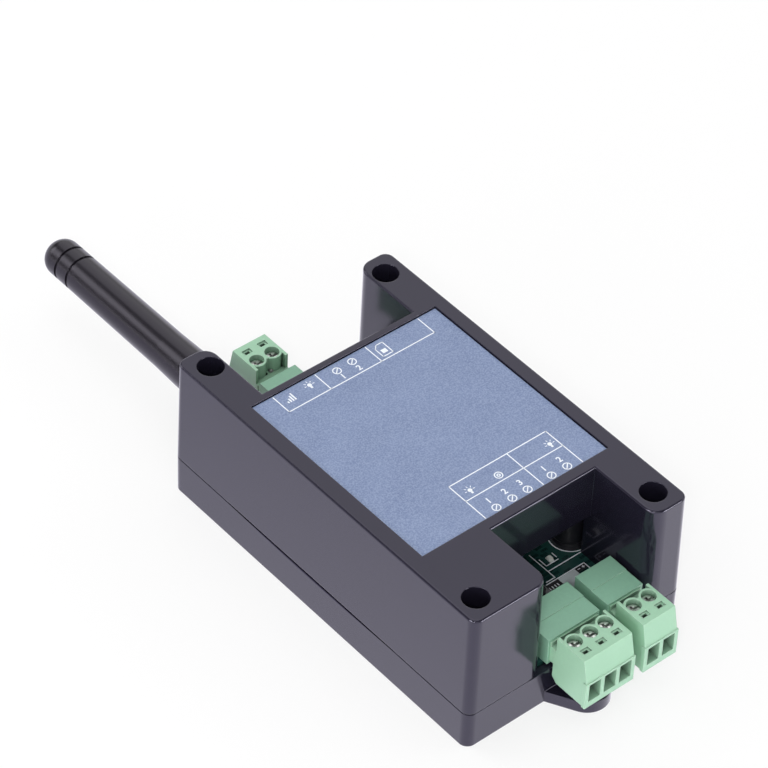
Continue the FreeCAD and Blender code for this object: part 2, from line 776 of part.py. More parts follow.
def make_plug(frame):
    name, ways = frame[:2]
    body = new_body(f"{name}_plug_body")
    half = f"({ways}*terminal_pitch/2 + plug_side)"
    profile = new_sketch(body, f"{name}_plug_profile", f"-{half}", role="YZ_Plane")
    add_polygon(profile, [
        ("plug_back", "plug_heel - plug_bottom"), ("plug_back + plug_heel", "-plug_bottom"),
        ("plug_reach", "-plug_bottom"), ("plug_reach", "plug_step"), ("plug_reach - plug_flare", "plug_step"),
        ("plug_reach - plug_flare - plug_slope", "plug_top"), ("plug_top_back", "plug_top"),
        ("plug_top_back", "plug_shelf"), ("plug_back", "plug_shelf"),
    ])
    grow(body, f"{name}_plug_bulk", profile, f"2*{half}")
    nose_half = f"({ways}*terminal_pitch/2 + header_side - header_wall - plug_gap)"
    nose_height = ("header_floor + plug_gap", "header_height - header_roof - plug_gap")
    nose_side = (f"-{nose_half}", nose_half)
    neck_height = (nose_height[0], "plug_shelf")
    pieces = [body, block(f"{name}_plug_nose", nose_side, ("-plug_nose", "plug_shoulder"), nose_height),
              block(f"{name}_plug_neck", nose_side, ("-1", "plug_back + 1"), neck_height)]
    rim_half = f"({half} + plug_flare)"
    pieces.append(block(f"{name}_plug_rim", (f"-{rim_half}", rim_half), ("plug_reach - 1.2", "plug_reach"),
                        ("-plug_bottom", "plug_step")))
    for side in (-1, 1):
        pieces.append(block(f"{name}_plug_cheek_{side + 2}", span(side, f"{half} - plug_cheek", half),
                            ("plug_cheek_back", "plug_top_back + 1"), ("plug_shelf - 1", "plug_top")))
    tools = []
    chamber_side = "(clamp_width + 2*clamp_gap)"
    spring_side = "(pin_width + 2*hole_gap + 2*spring_wall)"
    mouth_side = "(pin_width + 4*hole_gap)"
    for index, offset in enumerate(way_offsets(ways), start=1):
        way = f"{name}_way_{index}"
        scallop_height = ("plug_shelf", "plug_top")
        pieces.append(rod(f"{way}_scallop", "plug_scallop", *scallop_height, offset, "terminal_screw_v"))
        tools.append(rod(f"{way}_head_hole", "terminal_screw_head_radius + hole_gap", head_seat,
                         "plug_top + 1", offset, "terminal_screw_v"))
        tools.append(rod(f"{way}_shank_hole", "terminal_screw_radius + fit_gap", f"{chamber_top} - 0.1",
                         "plug_top", offset, "terminal_screw_v"))
        tools.append(centred_block(f"{way}_chamber", offset, "terminal_screw_v", chamber_side, chamber_side,
                                   (f"{clamp_rest_low} - 0.1", chamber_top)))
        tools.append(block(f"{way}_wire_hole", around(offset, "wire_hole_width"),
                           ("terminal_screw_v", "plug_reach + 1"), ("-wire_hole_low", "wire_hole_high")))
        tools.append(centred_block(f"{way}_test_slot", offset, "test_slot_v", "test_slot_width",
                                   "test_slot_length", ("plug_top - test_slot_depth", "plug_top + 1")))
        tools.append(centred_block(f"{way}_test_pin", offset, "test_slot_v", "test_pin_width",
                                   "test_pin_length", ("plug_top - test_pin_depth", "plug_top")))
        tools.append(block(f"{way}_spring_room", around(offset, f"{spring_side} + 0.4"),
                           ("-spring_back - 0.1", "terminal_screw_v"),
                           ("tongue_bar_low - 0.1", f"pin_height + {spring_side}/2 + 0.1")))
        tools.append(block(f"{way}_pin_mouth", around(offset, mouth_side), ("-plug_nose - 1", "-spring_back"),
                           around("pin_height", mouth_side)))
    housing = carve(f"{name}_plug_part", join(f"{name}_plug_solid", pieces), tools)
    finish(place_terminal(housing, frame), f"{name}_plug")


def make_plug_contacts(frame):
    """A box spring over each header pin, with a bar that reaches into the clamp."""
    name, ways = frame[:2]
    contacts = []
    outer = "(pin_width + 2*hole_gap + 2*spring_wall)"
    inner = "(pin_width + 2*hole_gap)"
    for index, offset in enumerate(way_offsets(ways), start=1):
        piece = f"{name}_contact_{index}"
        sleeve = block(f"{piece}_sleeve", around(offset, outer), ("-spring_back", "-spring_front"),
                       around("pin_height", outer))
        bore = block(f"{piece}_bore", around(offset, inner), ("-spring_back - 1", "1"),
                     around("pin_height", inner))
        bar_side = around(offset, "tongue_bar_width")
        web = block(f"{piece}_web", bar_side, ("-spring_front", "plug_back - spring_front"),
                    ("tongue_bar_low", f"pin_height + {outer}/2"))
        foot = block(f"{piece}_foot", bar_side, ("-2*spring_front", "0"),
                     ("tongue_bar_low", f"pin_height - {inner}/2"))
        bar = block(f"{piece}_bar", bar_side, ("-spring_front", "terminal_screw_v + clamp_width/2 - 0.6"),
                    ("tongue_bar_low", "tongue_bar_low + tongue_bar_thick"))
        window = block(f"{piece}_window", around(offset, inner), ("-spring_front - 1", "plug_back"),
                       around("pin_height", inner))
        contacts.append(carve(piece, join(f"{piece}_solid", [sleeve, web, foot, bar]), [bore, window]))
    finish(place_terminal(group(f"{name}_contact_group", contacts), frame), f"{name}_plug_contacts")


def make_terminal_screw(frame, index, offset):
    name = frame[0]
    piece = f"{name}_screw_{index}"
    head_top = f"({head_seat} + terminal_screw_head)"
    head = rod(f"{piece}_head", "terminal_screw_head_radius", head_seat, head_top)
    shank = rod(f"{piece}_shank", "terminal_screw_radius", "terminal_screw_tip", head_seat)
    deep = (f"{head_top} - terminal_screw_slot", f"{head_top} + 1")
    wide = "terminal_screw_slot"
    slots = [centred_block(f"{piece}_slot", "0", "0", "2*terminal_screw_head_radius + 1", wide, deep),
             centred_block(f"{piece}_cross", "0", "0", wide, "1.3*terminal_screw_head_radius", deep)]
    screw = carve(f"{piece}_part", join(f"{piece}_blank", [head, shank]), slots)
    finish(place_terminal(screw, frame, offset, "terminal_screw_v"), piece)


def make_clamp(frame, index, offset):
    """A rising cage: the screw runs in its top wall and lifts its foot against the bar."""
    name = frame[0]
    piece = f"{name}_clamp_{index}"
    half = "clamp_width/2"
    cage = block(f"{piece}_cage", (f"-{half}", half), (f"-{half}", half), (clamp_rest_low, clamp_rest_top))
    room_half = "(clamp_width/2 - clamp_wall)"
    room = block(f"{piece}_room", (f"-{room_half}", room_half), (f"-{half} - 1", f"{half} + 1"),
                 (f"{clamp_rest_low} + clamp_foot", f"{clamp_rest_top} - clamp_nut"))
    thread = rod(f"{piece}_thread", "terminal_screw_radius + fit_gap", f"{clamp_rest_top} - clamp_nut - 1",
                 f"{clamp_rest_top} + 1")
    clamp = carve(f"{piece}_part", cage, [room, thread])
    finish(place_terminal(clamp, frame, offset, "terminal_screw_v"), piece)


# Antenna socket and antenna

jack_face = board_y
jack_middle = f"({board_y} - jack_block_length/2)"
barrel_end = f"({jack_face} + jack_barrel_length)"
sleeve_base = f"({half_length} + antenna_base_gap)"


def jack_legs():
    return [(f"antenna_x + {side_x}*jack_leg_spread", f"{jack_middle} + {side_y}*jack_leg_spread")
            for side_x in (-1, 1) for side_y in (-1, 1)]


def make_antenna_socket():
    base = block("jack_block", ("antenna_x - jack_block_width/2", "antenna_x + jack_block_width/2"),
                 (f"{jack_face} - jack_block_length", jack_face),
                 (board_top, f"{antenna_z} + jack_block_width/2"))
    barrel = rod_along_y("jack_barrel", "jack_barrel_radius", f"{jack_face} - 1", barrel_end, "antenna_x",
                         antenna_z)
    legs = [rod(f"jack_leg_{index}", "jack_leg_radius", "board_seat_height - 1", f"{board_top} + 1", x, y)
            for index, (x, y) in enumerate(jack_legs(), start=1)]
    bore = rod_along_y("jack_bore", "jack_bore_radius", f"{jack_face} - jack_block_length + 1",
                       f"{barrel_end} + 1", "antenna_x", antenna_z)
    drop = rod("jack_drop", "jack_contact_radius + 0.5", "board_seat_height", antenna_z, "antenna_x",
               jack_middle)
    jack = carve("jack_part", join("jack_solid", [base, barrel] + legs), [bore, drop])
    finish(jack, "antenna_socket")

    core = rod_along_y("insulator_rod", "jack_bore_radius", f"{jack_face} - jack_block_length + 1",
                       f"{barrel_end} - jack_mouth", "antenna_x", antenna_z)
    hole = rod_along_y("insulator_hole", "jack_contact_radius", f"{jack_face} - jack_block_length",
                       f"{barrel_end} + 1", "antenna_x", antenna_z)
    slot = rod("insulator_slot", "jack_contact_radius + 0.1", "board_seat_height", antenna_z, "antenna_x",
               jack_middle)
    finish(carve("insulator_part", core, [hole, slot]), "socket_insulator")

    wire = rod_along_y("contact_rod", "jack_contact_radius", f"{jack_middle} - 2*antenna_pin_radius",
                       f"{barrel_end} - jack_mouth", "antenna_x", antenna_z)
    leg = rod("contact_leg", "antenna_pin_radius", "board_seat_height - 1", antenna_z, "antenna_x",
              jack_middle)
    mouth = rod_along_y("contact_bore", "antenna_pin_radius + fit_gap",
                        f"{barrel_end} - jack_mouth - jack_contact_bore", f"{barrel_end} + 1", "antenna_x",
                        antenna_z)
    finish(carve("contact_part", join("contact_solid", [wire, leg]), [mouth]), "socket_contact")


nut_low = "antenna_nut_lip"
nut_high = "(antenna_nut_lip + antenna_nut_length)"
nut_shoulder = "(antenna_nut_lip + antenna_nut_length - antenna_nut_back)"


def stand_on_socket(item):
    """Lays a piece that was turned about Z along the antenna's axis, from the sleeve's base outwards."""
    return put(turn(item, (1, 0, 0), -90), "antenna_x", sleeve_base, antenna_z)


def make_antenna():
    sleeve = new_body("sleeve_body")
    in_groove = "(antenna_tip_radius - antenna_groove_depth)"
    grooves = []
    for distance in ("antenna_groove_second", "antenna_groove_first"):
        low = f"antenna_length - {distance}"
        high = f"antenna_length - {distance} + antenna_groove_width"
        grooves += [("antenna_tip_radius", low), (in_groove, low)]
        grooves += [(in_groove, high), ("antenna_tip_radius", high)]
    revolve(sleeve, "sleeve_turned", [
        ("antenna_nut_radius + fit_gap", "0"), ("antenna_flare_radius", "0"),
        ("antenna_flare_radius", "0.6*antenna_flare_length"), ("antenna_root_radius", "antenna_flare_length"),
        *grooves,
        ("antenna_tip_radius", "antenna_length"), ("0", "antenna_length"),
        ("0", f"{nut_high} + whip_length"), ("2*whip_radius", f"{nut_high} + whip_length"),
        ("2*whip_radius", f"{nut_high} + fit_gap"), ("antenna_nut_radius + fit_gap", f"{nut_high} + fit_gap"),
    ])

    def tip_edge(edge):
        return edge.BoundBox.ZMin > number("antenna_length") - 0.01 and edge.Closed

    round_edges(sleeve, "sleeve_dome", "0.86*antenna_tip_radius", tip_edge)
    finish(stand_on_socket(sleeve), "antenna_sleeve")

    nut = new_body("nut_body")
    thread = "(jack_barrel_radius + fit_gap)"
    revolve(nut, "nut_turned", [
        (thread, nut_low), ("antenna_nut_radius", nut_low), ("antenna_nut_radius", nut_high),
        ("antenna_core_radius + fit_gap", nut_high), ("antenna_core_radius + fit_gap", nut_shoulder),
        (thread, nut_shoulder),
    ])
    finish(stand_on_socket(nut), "antenna_nut")

    core = new_body("antenna_core_body")
    flange = f"({barrel_end} - {sleeve_base})"
    mouth = f"({flange} - jack_mouth)"
    pin_end = f"{mouth} - jack_contact_bore + 0.6"
    root = f"{mouth} + 0.5"
    flange_low = f"{flange} + fit_gap"
    flange_high = f"{nut_shoulder} - fit_gap"
    revolve(core, "core_turned", [
        ("0", pin_end), ("antenna_pin_radius", pin_end), ("antenna_pin_radius", root),
        ("antenna_core_radius", root), ("antenna_core_radius", flange_low),
        ("antenna_core_flange", flange_low), ("antenna_core_flange", flange_high),
        ("antenna_core_radius", flange_high), ("antenna_core_radius", nut_high), ("0", nut_high),
    ])
    finish(stand_on_socket(core), "antenna_core")

    whip = rod("whip_rod", "whip_radius", "0", "whip_length")
    turn(whip, (1, 0, 0), -90)
    finish(put(whip, "antenna_x", f"{sleeve_base} + {nut_high}", antenna_z), "antenna_whip")


# Relay, drawn about its own middle with its foot on the board's top

def place_relay(item):
    return put(item, relay_x, from_front("relay"), board_top)


relay_floor = "relay_base_thickness"
coil_low = "(relay_base_thickness + yoke_thickness)"
coil_high = "(relay_base_thickness + yoke_thickness + coil_height)"
core_top = f"({coil_high} + core_cap)"
plate_low = f"({core_top} + armature_gap)"
plate_high = f"({core_top} + armature_gap + armature_thickness)"
contact_x = "(yoke_offset - armature_reach)"
pivot_x = "(yoke_offset + yoke_thickness/2)"


def make_relay():
    half_x = "relay_length/2"
    half_y = "relay_width/2"
    case = block("relay_case_block", (f"-{half_x}", half_x), (f"-{half_y}", half_y), ("0", "relay_height"))
    room = block("relay_case_room", (f"-{half_x} + relay_case_wall", f"{half_x} - relay_case_wall"),
                 (f"-{half_y} + relay_case_wall", f"{half_y} - relay_case_wall"),
                 ("-1", "relay_height - relay_case_wall"))
    finish(place_relay(carve("relay_case_part", case, [room])), "relay_case")

    gap = "(relay_case_wall + relay_base_gap)"
    plate = block("relay_base_plate", (f"-{half_x} + {gap}", f"{half_x} - {gap}"),
                  (f"-{half_y} + {gap}", f"{half_y} - {gap}"), ("0", relay_floor))
    pins = [centred_block(f"relay_base_pin_{index}", x, y, "relay_pin_width", "relay_pin_width",
                          ("-board_thickness - pin_tail", "0.5*relay_base_thickness"))
            for index, (x, y) in enumerate(relay_pins, start=1)]
    finish(place_relay(join("relay_base_part", [plate] + pins)), "relay_base")

    yoke_side = ("-yoke_width/2", "yoke_width/2")
    foot = block("yoke_foot", ("-core_radius - 1", "yoke_offset + yoke_thickness"), yoke_side,
                 (relay_floor, coil_low))
    arm = block("yoke_arm", ("yoke_offset", "yoke_offset + yoke_thickness"), yoke_side,
                (relay_floor, f"{plate_low} - fit_gap"))
    core = rod("yoke_core", "core_radius", relay_floor, core_top)
    cap = rod("yoke_cap", "core_cap_radius", coil_high, core_top)
    groove = rod_along_y("yoke_groove", "pivot_radius + fit_gap", "-yoke_width/2 - 1", "yoke_width/2 + 1",
                         pivot_x, plate_low)
    yoke = carve("yoke_part", join("yoke_solid", [foot, arm, core, cap]), [groove])
    finish(place_relay(yoke), "relay_yoke")

    winding = rod("coil_winding", "coil_radius", coil_low, coil_high)
    flange = [rod("coil_flange_low", "coil_radius + 0.4", coil_low, f"{coil_low} + 0.7"),
              rod("coil_flange_high", "coil_radius + 0.4", f"{coil_high} - 0.7", coil_high)]
    bore = rod("coil_bore", "core_radius + fit_gap", f"{coil_low} - 1", f"{coil_high} + 1")
    finish(place_relay(carve("coil_part", join("coil_solid", [winding] + flange), [bore])), "relay_coil")

    plate = block("armature_plate", ("-core_cap_radius - 0.5", "yoke_offset + yoke_thickness"), yoke_side,
                  (plate_low, plate_high))
    pivot = rod_along_y("armature_pivot", "pivot_radius", *yoke_side, pivot_x, plate_low)
    blade = block("armature_blade", (f"{contact_x} - contact_radius", "-core_cap_radius"),
                  ("-blade_width/2", "blade_width/2"), (f"{plate_high} - blade_thickness", plate_high))
    button = rod("armature_button", "contact_radius", f"{plate_high} - 2*blade_thickness",
                 f"{plate_high} + blade_thickness", contact_x, "0")
    finish(place_relay(join("armature_part", [plate, pivot, blade, button])), "relay_armature")

    contacts = []
    arm_x = around(contact_x, "2*contact_radius")
    open_top = f"({plate_high} - 2*blade_thickness - contact_gap)"
    closed_low = f"({plate_high} + blade_thickness + fit_gap)"
    post_near = "blade_width/2 + 0.6"
    post_far = "blade_width/2 + 1.6"
    levels = [("open", -1, f"{open_top} - blade_thickness", open_top),
              ("closed", 1, closed_low, f"{closed_low} + blade_thickness")]
    for name, side, low, high in levels:
        arm = block(f"{name}_contact_arm", arm_x, span(side, "-contact_radius", post_far), (low, high))
        post = block(f"{name}_contact_post", arm_x, span(side, post_near, post_far), (relay_floor, high))
        contacts.append(join(f"{name}_contact", [arm, post]))
    finish(place_relay(group("relay_contact_group", contacts)), "relay_contacts")


# Other parts on the board

def on_board(low, high):
    return (f"{board_top} + {low}", f"{board_top} + {high}")


def make_board_parts():
    module = centred_block("module_sheet", "gsm_x", "gsm_y", "gsm_side", "gsm_side",
                           on_board("0", "gsm_board"))
    finish(module, "gsm_module")
    can = centred_block("shield_block", "gsm_x", "gsm_y", "gsm_shield_side", "gsm_shield_side",
                        on_board("gsm_board", "gsm_board + gsm_shield_height"))
    room = centred_block("shield_room", "gsm_x", "gsm_y", "gsm_shield_side - 2*gsm_shield_wall",
                         "gsm_shield_side - 2*gsm_shield_wall",
                         on_board("gsm_board - 1", "gsm_board + gsm_shield_height - gsm_shield_wall"))
    finish(carve("shield_part", can, [room]), "gsm_shield")

    chip_x = from_right("controller")
    chip = centred_block("chip_block", chip_x, "controller_y", "controller_side", "controller_side",
                         on_board("0.1", "controller_height"))
    leads = []
    reach = "controller_side + 2*controller_lead"
    foot = on_board("0", "0.2")
    for index in range(12):
        shift = f"({index} - 5.5)*0.5"
        leads.append(centred_block(f"chip_lead_x_{index}", chip_x, f"controller_y + {shift}", reach,
                                   "0.22", foot))
        leads.append(centred_block(f"chip_lead_y_{index}", f"{chip_x} + {shift}", "controller_y", "0.22",
                                   reach, foot))
    finish(join("chip_part", [chip] + leads), "microcontroller")

    for name, x, y in capacitor_places:
        radius = f"{name}_radius"
        height = f"{name}_height"
        can_top = (f"{radius} - 0.8", f"{height} - 0.3")
        body = new_body(f"{name}_body")
        revolve(body, f"{name}_turned", [
            ("0", "0"), (radius, "0"), (radius, "1.2"), (f"{radius} - capacitor_pleat", "1.9"),
            (radius, "2.6"), (radius, height), (can_top[0], height), can_top, ("0", can_top[1]),
        ])
        leads = [rod(f"{name}_lead_{side + 2}", "capacitor_lead_radius", "-board_thickness - 1", "0.5",
                     f"{side}*capacitor_lead_spread", "0") for side in (-1, 1)]
        finish(put(join(f"{name}_part", [body] + leads), x, y, board_top), name)

    coil_x = from_right("inductor")
    coil = centred_block("inductor_block", coil_x, "inductor_y", "inductor_side", "inductor_side",
                         on_board("0", "inductor_height"))
    well = rod("inductor_well", "0.36*inductor_side", f"{board_top} + inductor_height - 0.5",
               f"{board_top} + inductor_height + 1", coil_x, "inductor_y")
    hub = rod("inductor_hub", "0.31*inductor_side", f"{board_top} + inductor_height - 0.6",
              f"{board_top} + inductor_height - 0.1", coil_x, "inductor_y")
    finish(join("inductor_part", [carve("inductor_shell", coil, [well]), hub]), "power_inductor")

    chip = centred_block("regulator_block", "regulator_x", "regulator_y", "regulator_length",
                         "regulator_width", on_board("0.1", "regulator_height"))
    leads = [centred_block(f"regulator_lead_{index}", f"regulator_x + ({index} - 1.5)*1.27", "regulator_y",
                           "0.42", "regulator_width + 2.1", on_board("0", "0.25")) for index in range(4)]
    finish(join("regulator_part", [chip] + leads), "voltage_regulator")

    diode_y = from_front("diode")
    chip = centred_block("diode_block", "diode_x", diode_y, "diode_length", "diode_width",
                         on_board("0.1", "diode_height"))
    tabs = centred_block("diode_tabs", "diode_x", diode_y, "diode_length + 1", "2.0", on_board("0", "0.3"))
    finish(join("diode_part", [chip, tabs]), "power_diode")

    lamps = []
    led_places = [("run_led", from_front("run_led")), ("relay_led", from_front("relay_led")),
                  ("signal_led", "signal_led_y")]
    for name, y in led_places:
        x = f"{name}_x"
        slab = centred_block(f"{name}_slab", x, y, "led_width", "led_length", on_board("0", "0.5*led_height"))
        lens = centred_block(f"{name}_lens", x, y, "led_width", "0.62*led_length",
                             on_board("0.4*led_height", "led_height"))
        lamps.append(join(name, [slab, lens]))
    finish(group("led_group", lamps), "status_leds")


def make_reset_switch():
    switch_y = from_front("reset")
    housing = centred_block("switch_block", "reset_x", switch_y, "reset_side", "reset_side",
                            on_board("0", "reset_height"))
    well = rod("switch_well", "reset_button_radius + hole_gap", f"{board_top} + 1.2",
               f"{board_top} + reset_height + 1", "reset_x", switch_y)
    finish(carve("switch_part", housing, [well]), "reset_switch")
    stem = rod("button_stem", "reset_button_radius", f"{board_top} + 1.2 + reset_travel + 0.05",
               f"{board_top} + reset_height + reset_button_rise", "reset_x", switch_y)
    finish(stem, "reset_button")


def make_sim_holder():
    rear = f"({board_y} - sim_rear_gap)"
    front = f"({rear} - sim_socket_length)"
    side = ("sim_x - sim_socket_width/2", "sim_x + sim_socket_width/2")
    card_top = "(sim_floor + sim_card_thickness + hole_gap)"
    floor = block("sim_floor_plate", side, (front, rear), on_board("0", "sim_floor"))
    rail_inner = "(sim_card_width/2 + hole_gap)"
    rail_height = on_board("0", card_top)
    rails = [block("sim_rail_left", (side[0], f"sim_x - {rail_inner}"), (front, rear), rail_height),
             block("sim_rail_right", (f"sim_x + {rail_inner}", side[1]), (front, rear), rail_height)]
    finish(join("sim_socket_part", [floor] + rails), "sim_socket")
    roof = block("sim_roof", side, (front, rear), on_board(card_top, f"{card_top} + sim_shell_wall"))
    finish(roof, "sim_shell")
    card_rear = f"({rear} + sim_card_proud)"
    body = new_body("sim_card_body")
    outline = new_sketch(body, "sim_card_outline", f"{board_top} + sim_floor + 0.05")
    left = "sim_x - sim_card_width/2"
    right = "sim_x + sim_card_width/2"
    add_polygon(outline, [
        (left, card_rear), (left, f"{card_rear} - sim_card_length"),
        ("sim_x + sim_card_width/2 - 1.7", f"{card_rear} - sim_card_length"),
        (right, f"{card_rear} - sim_card_length + 1.7"), (right, card_rear),
    ])
    grow(body, "sim_card_sheet", outline, "sim_card_thickness")
    finish(body, "sim_card")


make_base_shell()
make_top_cover()
make_label_plate()
make_screw_group("cover_screws", screw_places, "(base_height + well_seat)", "cover_screw_radius",
                 "cover_screw_length", "cover_screw_head_radius", "cover_screw_head", "1")
make_circuit_board()
make_screw_group("board_screws", standoff_places, board_top, "board_screw_radius", "board_screw_length",
                 "board_screw_head_radius", "board_screw_head", "0.8")
for terminal in terminal_frames():
    make_header(terminal)
    make_plug(terminal)
    make_plug_contacts(terminal)
    for way, offset_words in enumerate(way_offsets(terminal[1]), start=1):
        make_terminal_screw(terminal, way, offset_words)
        make_clamp(terminal, way, offset_words)
make_antenna_socket()
make_antenna()
make_relay()
make_board_parts()
make_reset_switch()
make_sim_holder()

doc.recompute()
for item in doc.Objects:
    if "Invalid" in item.State or "Error" in item.State:
        raise RuntimeError(f"{item.Name} failed: {item.State}")
for item in nodes:
    if item.Shape.isNull() or not item.Shape.isValid() or item.Shape.Volume <= 0:
        raise RuntimeError(f"{item.Label} has no valid solid")

os.makedirs("parts", exist_ok=True)
for item in nodes:
    item.Shape.exportStep(f"parts/{item.Label}.step")
print(f"{len(nodes)} pieces written")
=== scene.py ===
import math

import bmesh
import bpy
from mathutils import Matrix, Vector


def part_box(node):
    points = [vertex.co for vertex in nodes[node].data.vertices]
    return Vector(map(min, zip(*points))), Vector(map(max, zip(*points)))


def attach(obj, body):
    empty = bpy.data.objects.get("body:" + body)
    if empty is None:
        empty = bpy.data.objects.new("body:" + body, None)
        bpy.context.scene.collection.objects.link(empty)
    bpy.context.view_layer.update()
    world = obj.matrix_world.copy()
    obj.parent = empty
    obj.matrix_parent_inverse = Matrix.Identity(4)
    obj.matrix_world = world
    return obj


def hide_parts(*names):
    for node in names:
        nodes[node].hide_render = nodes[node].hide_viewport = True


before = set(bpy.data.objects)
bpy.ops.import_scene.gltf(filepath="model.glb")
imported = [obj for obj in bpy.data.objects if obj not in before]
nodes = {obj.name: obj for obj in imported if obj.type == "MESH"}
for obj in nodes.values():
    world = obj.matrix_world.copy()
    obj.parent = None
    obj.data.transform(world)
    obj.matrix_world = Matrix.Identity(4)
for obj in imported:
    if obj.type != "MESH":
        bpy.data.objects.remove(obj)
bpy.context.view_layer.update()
mm = 0.001
print("frame loaded:", len(nodes), "nodes")


# ways of writing node trees

class Flow:  # one output socket; sums on it add Math nodes
    def __init__(self, bench, socket):
        self.bench = bench
        self.socket = socket

    def sum(self, operation, *values):
        return self.bench.make("ShaderNodeMath", {"operation": operation}, dict(enumerate(values)))

    def __add__(self, other): return self.sum("ADD", self, other)
    def __radd__(self, other): return self.sum("ADD", other, self)
    def __sub__(self, other): return self.sum("SUBTRACT", self, other)
    def __rsub__(self, other): return self.sum("SUBTRACT", other, self)
    def __mul__(self, other): return self.sum("MULTIPLY", self, other)
    def __rmul__(self, other): return self.sum("MULTIPLY", other, self)
    def __truediv__(self, other): return self.sum("DIVIDE", self, other)
    def __gt__(self, other): return self.sum("GREATER_THAN", self, other)
    def __lt__(self, other): return self.sum("LESS_THAN", self, other)


class Bench:  # puts nodes into one tree
    def __init__(self, tree):
        self.tree = tree

    def make(self, kind, settings=None, sockets=None, out=0):
        node = self.tree.nodes.new(kind)
        for name, value in (settings or {}).items():
            setattr(node, name, value)
        for key, value in (sockets or {}).items():
            for one in value if isinstance(value, list) else [value]:
                if isinstance(one, Flow):
                    self.tree.links.new(one.socket, node.inputs[key])
                else:
                    node.inputs[key].default_value = one
        return Flow(self, node.outputs[out] if len(node.outputs) else None)

    def blend(self, factor, first, second):  # a mix of two colours
        return self.make("ShaderNodeMix", {"data_type": "RGBA"}, {0: factor, 6: first, 7: second}, 2)

    def dot(self, first, second):  # how far two directions agree
        return self.make("ShaderNodeVectorMath", {"operation": "DOT_PRODUCT"}, {0: first, 1: second}, 1)


def grey(level):
    return (level, level, level, 1)


def colour(red, green, blue):  # written as the 0 to 255 levels that a picture shows
    return tuple(((level / 255 + 0.055) / 1.055) ** 2.4 if level > 10 else level / 255 / 12.92
                 for level in (red, green, blue)) + (1,)


def scaled(base, share):  # the same colour, darker or lighter
    return tuple(min(1, part * share) for part in base[:3]) + (1,)


def paler(base, share):  # the colour with this share of its distance from white
    return tuple(1 - (1 - part) * share for part in base[:3]) + (1,)


class Finish(Bench):  # a material with one Principled shader
    def __init__(self, name, **constants):
        self.material = bpy.data.materials.new(name)
        self.material.use_nodes = True
        super().__init__(self.material.node_tree)
        self.shader = self.tree.nodes["Principled BSDF"]
        for key, value in constants.items():
            self.shader.inputs[key.replace("_", " ")].default_value = value
        self.place = self.make("ShaderNodeTexCoord", out=3)

    def noise(self, size, detail=3, roughness=0.5, stretch=None):
        place = self.place
        if stretch:
            place = self.make("ShaderNodeMapping", {}, {0: self.place, 3: stretch})
        return self.make("ShaderNodeTexNoise", {}, {
            "Vector": place, "Scale": 1 / (size * mm), "Detail": detail, "Roughness": roughness})

    def drive(self, **links):
        for key, value in links.items():
            self.tree.links.new(value.socket, self.shader.inputs[key.replace("_", " ")])

    def softened(self, edge):  # the normal with edges rounded by this many mm
        return self.make("ShaderNodeBevel", {"samples": 6}, {"Radius": edge * mm})

    def shadeCrevices(self, body, reach, share):  # painted shade: the colour darkened in holes and joints by ambient occlusion
        near = {"samples": 8, "only_local": True}
        shade = 1 - self.make("ShaderNodeAmbientOcclusion", near, {"Distance": reach * mm}, 1)
        return self.blend(shade * shade * share, body, grey(0.0))

    def partingShade(self, facts):  # painted shade: a band where base and cover part, widest half way along, for the shadow in an open gap
        along, up = (self.make("ShaderNodeSeparateXYZ", {}, {0: self.place}, axis) for axis in (1, 2))
        off = (along - facts["middle"] * mm) / (facts["half"] * mm)
        below = facts["edge"] * mm - up
        shadedGap = (1 - off * off) * (facts["open"] * mm)
        return (below > 0.0) * (below < shadedGap)

    def surface(self, height, depth, edge=0.0):  # bump in mm, on edges softened by the given mm
        sockets = {"Strength": 1.0, "Distance": depth * mm, "Height": height}
        if edge:
            sockets["Normal"] = self.softened(edge)
        self.drive(Normal=self.make("ShaderNodeBump", {}, sockets))


finishes = {}

plasticFacts = {
    "broad": 14, "cloud": 0.9, "creviceShadeReach": 7.0,  # sizes in mm
    "highlightReach": 0.7, "highlightGain": 4, "highlightPaleness": 0.45,  # the reach is a share of the rounded edge
    "roughDrop": 0.05, "roughBroad": 0.07, "roughFine": 0.04,
}


def mouldedPlastic(name, base, rough, grain=0.25, depth=0.006, edge=0.25, mottle=0.06, rimHighlight=0, cloudy=0,
                   creviceShade=0, parting=None, **constants):
    facts = plasticFacts
    finish = Finish(name, **constants)
    broad = finish.noise(facts["broad"], 2)
    fine = finish.noise(grain, 2, 0.6)
    body = finish.blend(broad, scaled(base, 1 - 2 * mottle), scaled(base, 1 + 2 * mottle))
    if cloudy:  # fine clouds in the pigment
        clouds = finish.noise(facts["cloud"], 3, 0.7) * 2 - 0.5
        body = finish.blend(clouds, body, scaled(base, 1 - cloudy))
    if rimHighlight:  # painted highlight: edges of the moulding made paler, as if catching light
        true = finish.make("ShaderNodeNewGeometry", out=1)
        bend = (1 - finish.dot(finish.softened(edge * facts["highlightReach"]), true)) * facts["highlightGain"]
        share = bend.sum("MINIMUM", bend, 1.0) * rimHighlight
        body = finish.blend(share, body, paler(base, facts["highlightPaleness"]))
    # painted shade: darker in holes and joints
    if creviceShade:
        body = finish.shadeCrevices(body, facts["creviceShadeReach"], creviceShade)
    if parting:  # painted shade: black metal shows neither colour nor gloss, standing in for the shadow in an open gap
        shadedGap = finish.partingShade(parting)
        body = finish.blend(shadedGap, body, grey(0.0))
        finish.drive(Metallic=shadedGap)
    uneven = facts["roughBroad"] * broad + facts["roughFine"] * fine
    finish.drive(Base_Color=body, Roughness=rough - facts["roughDrop"] + uneven)
    finish.surface(fine, depth, edge)
    finishes[name] = finish.material


metalFacts = {"stains": 2.5, "creviceShadeReach": 0.8, "roughStains": 0.12, "roughStreaks": 0.08}


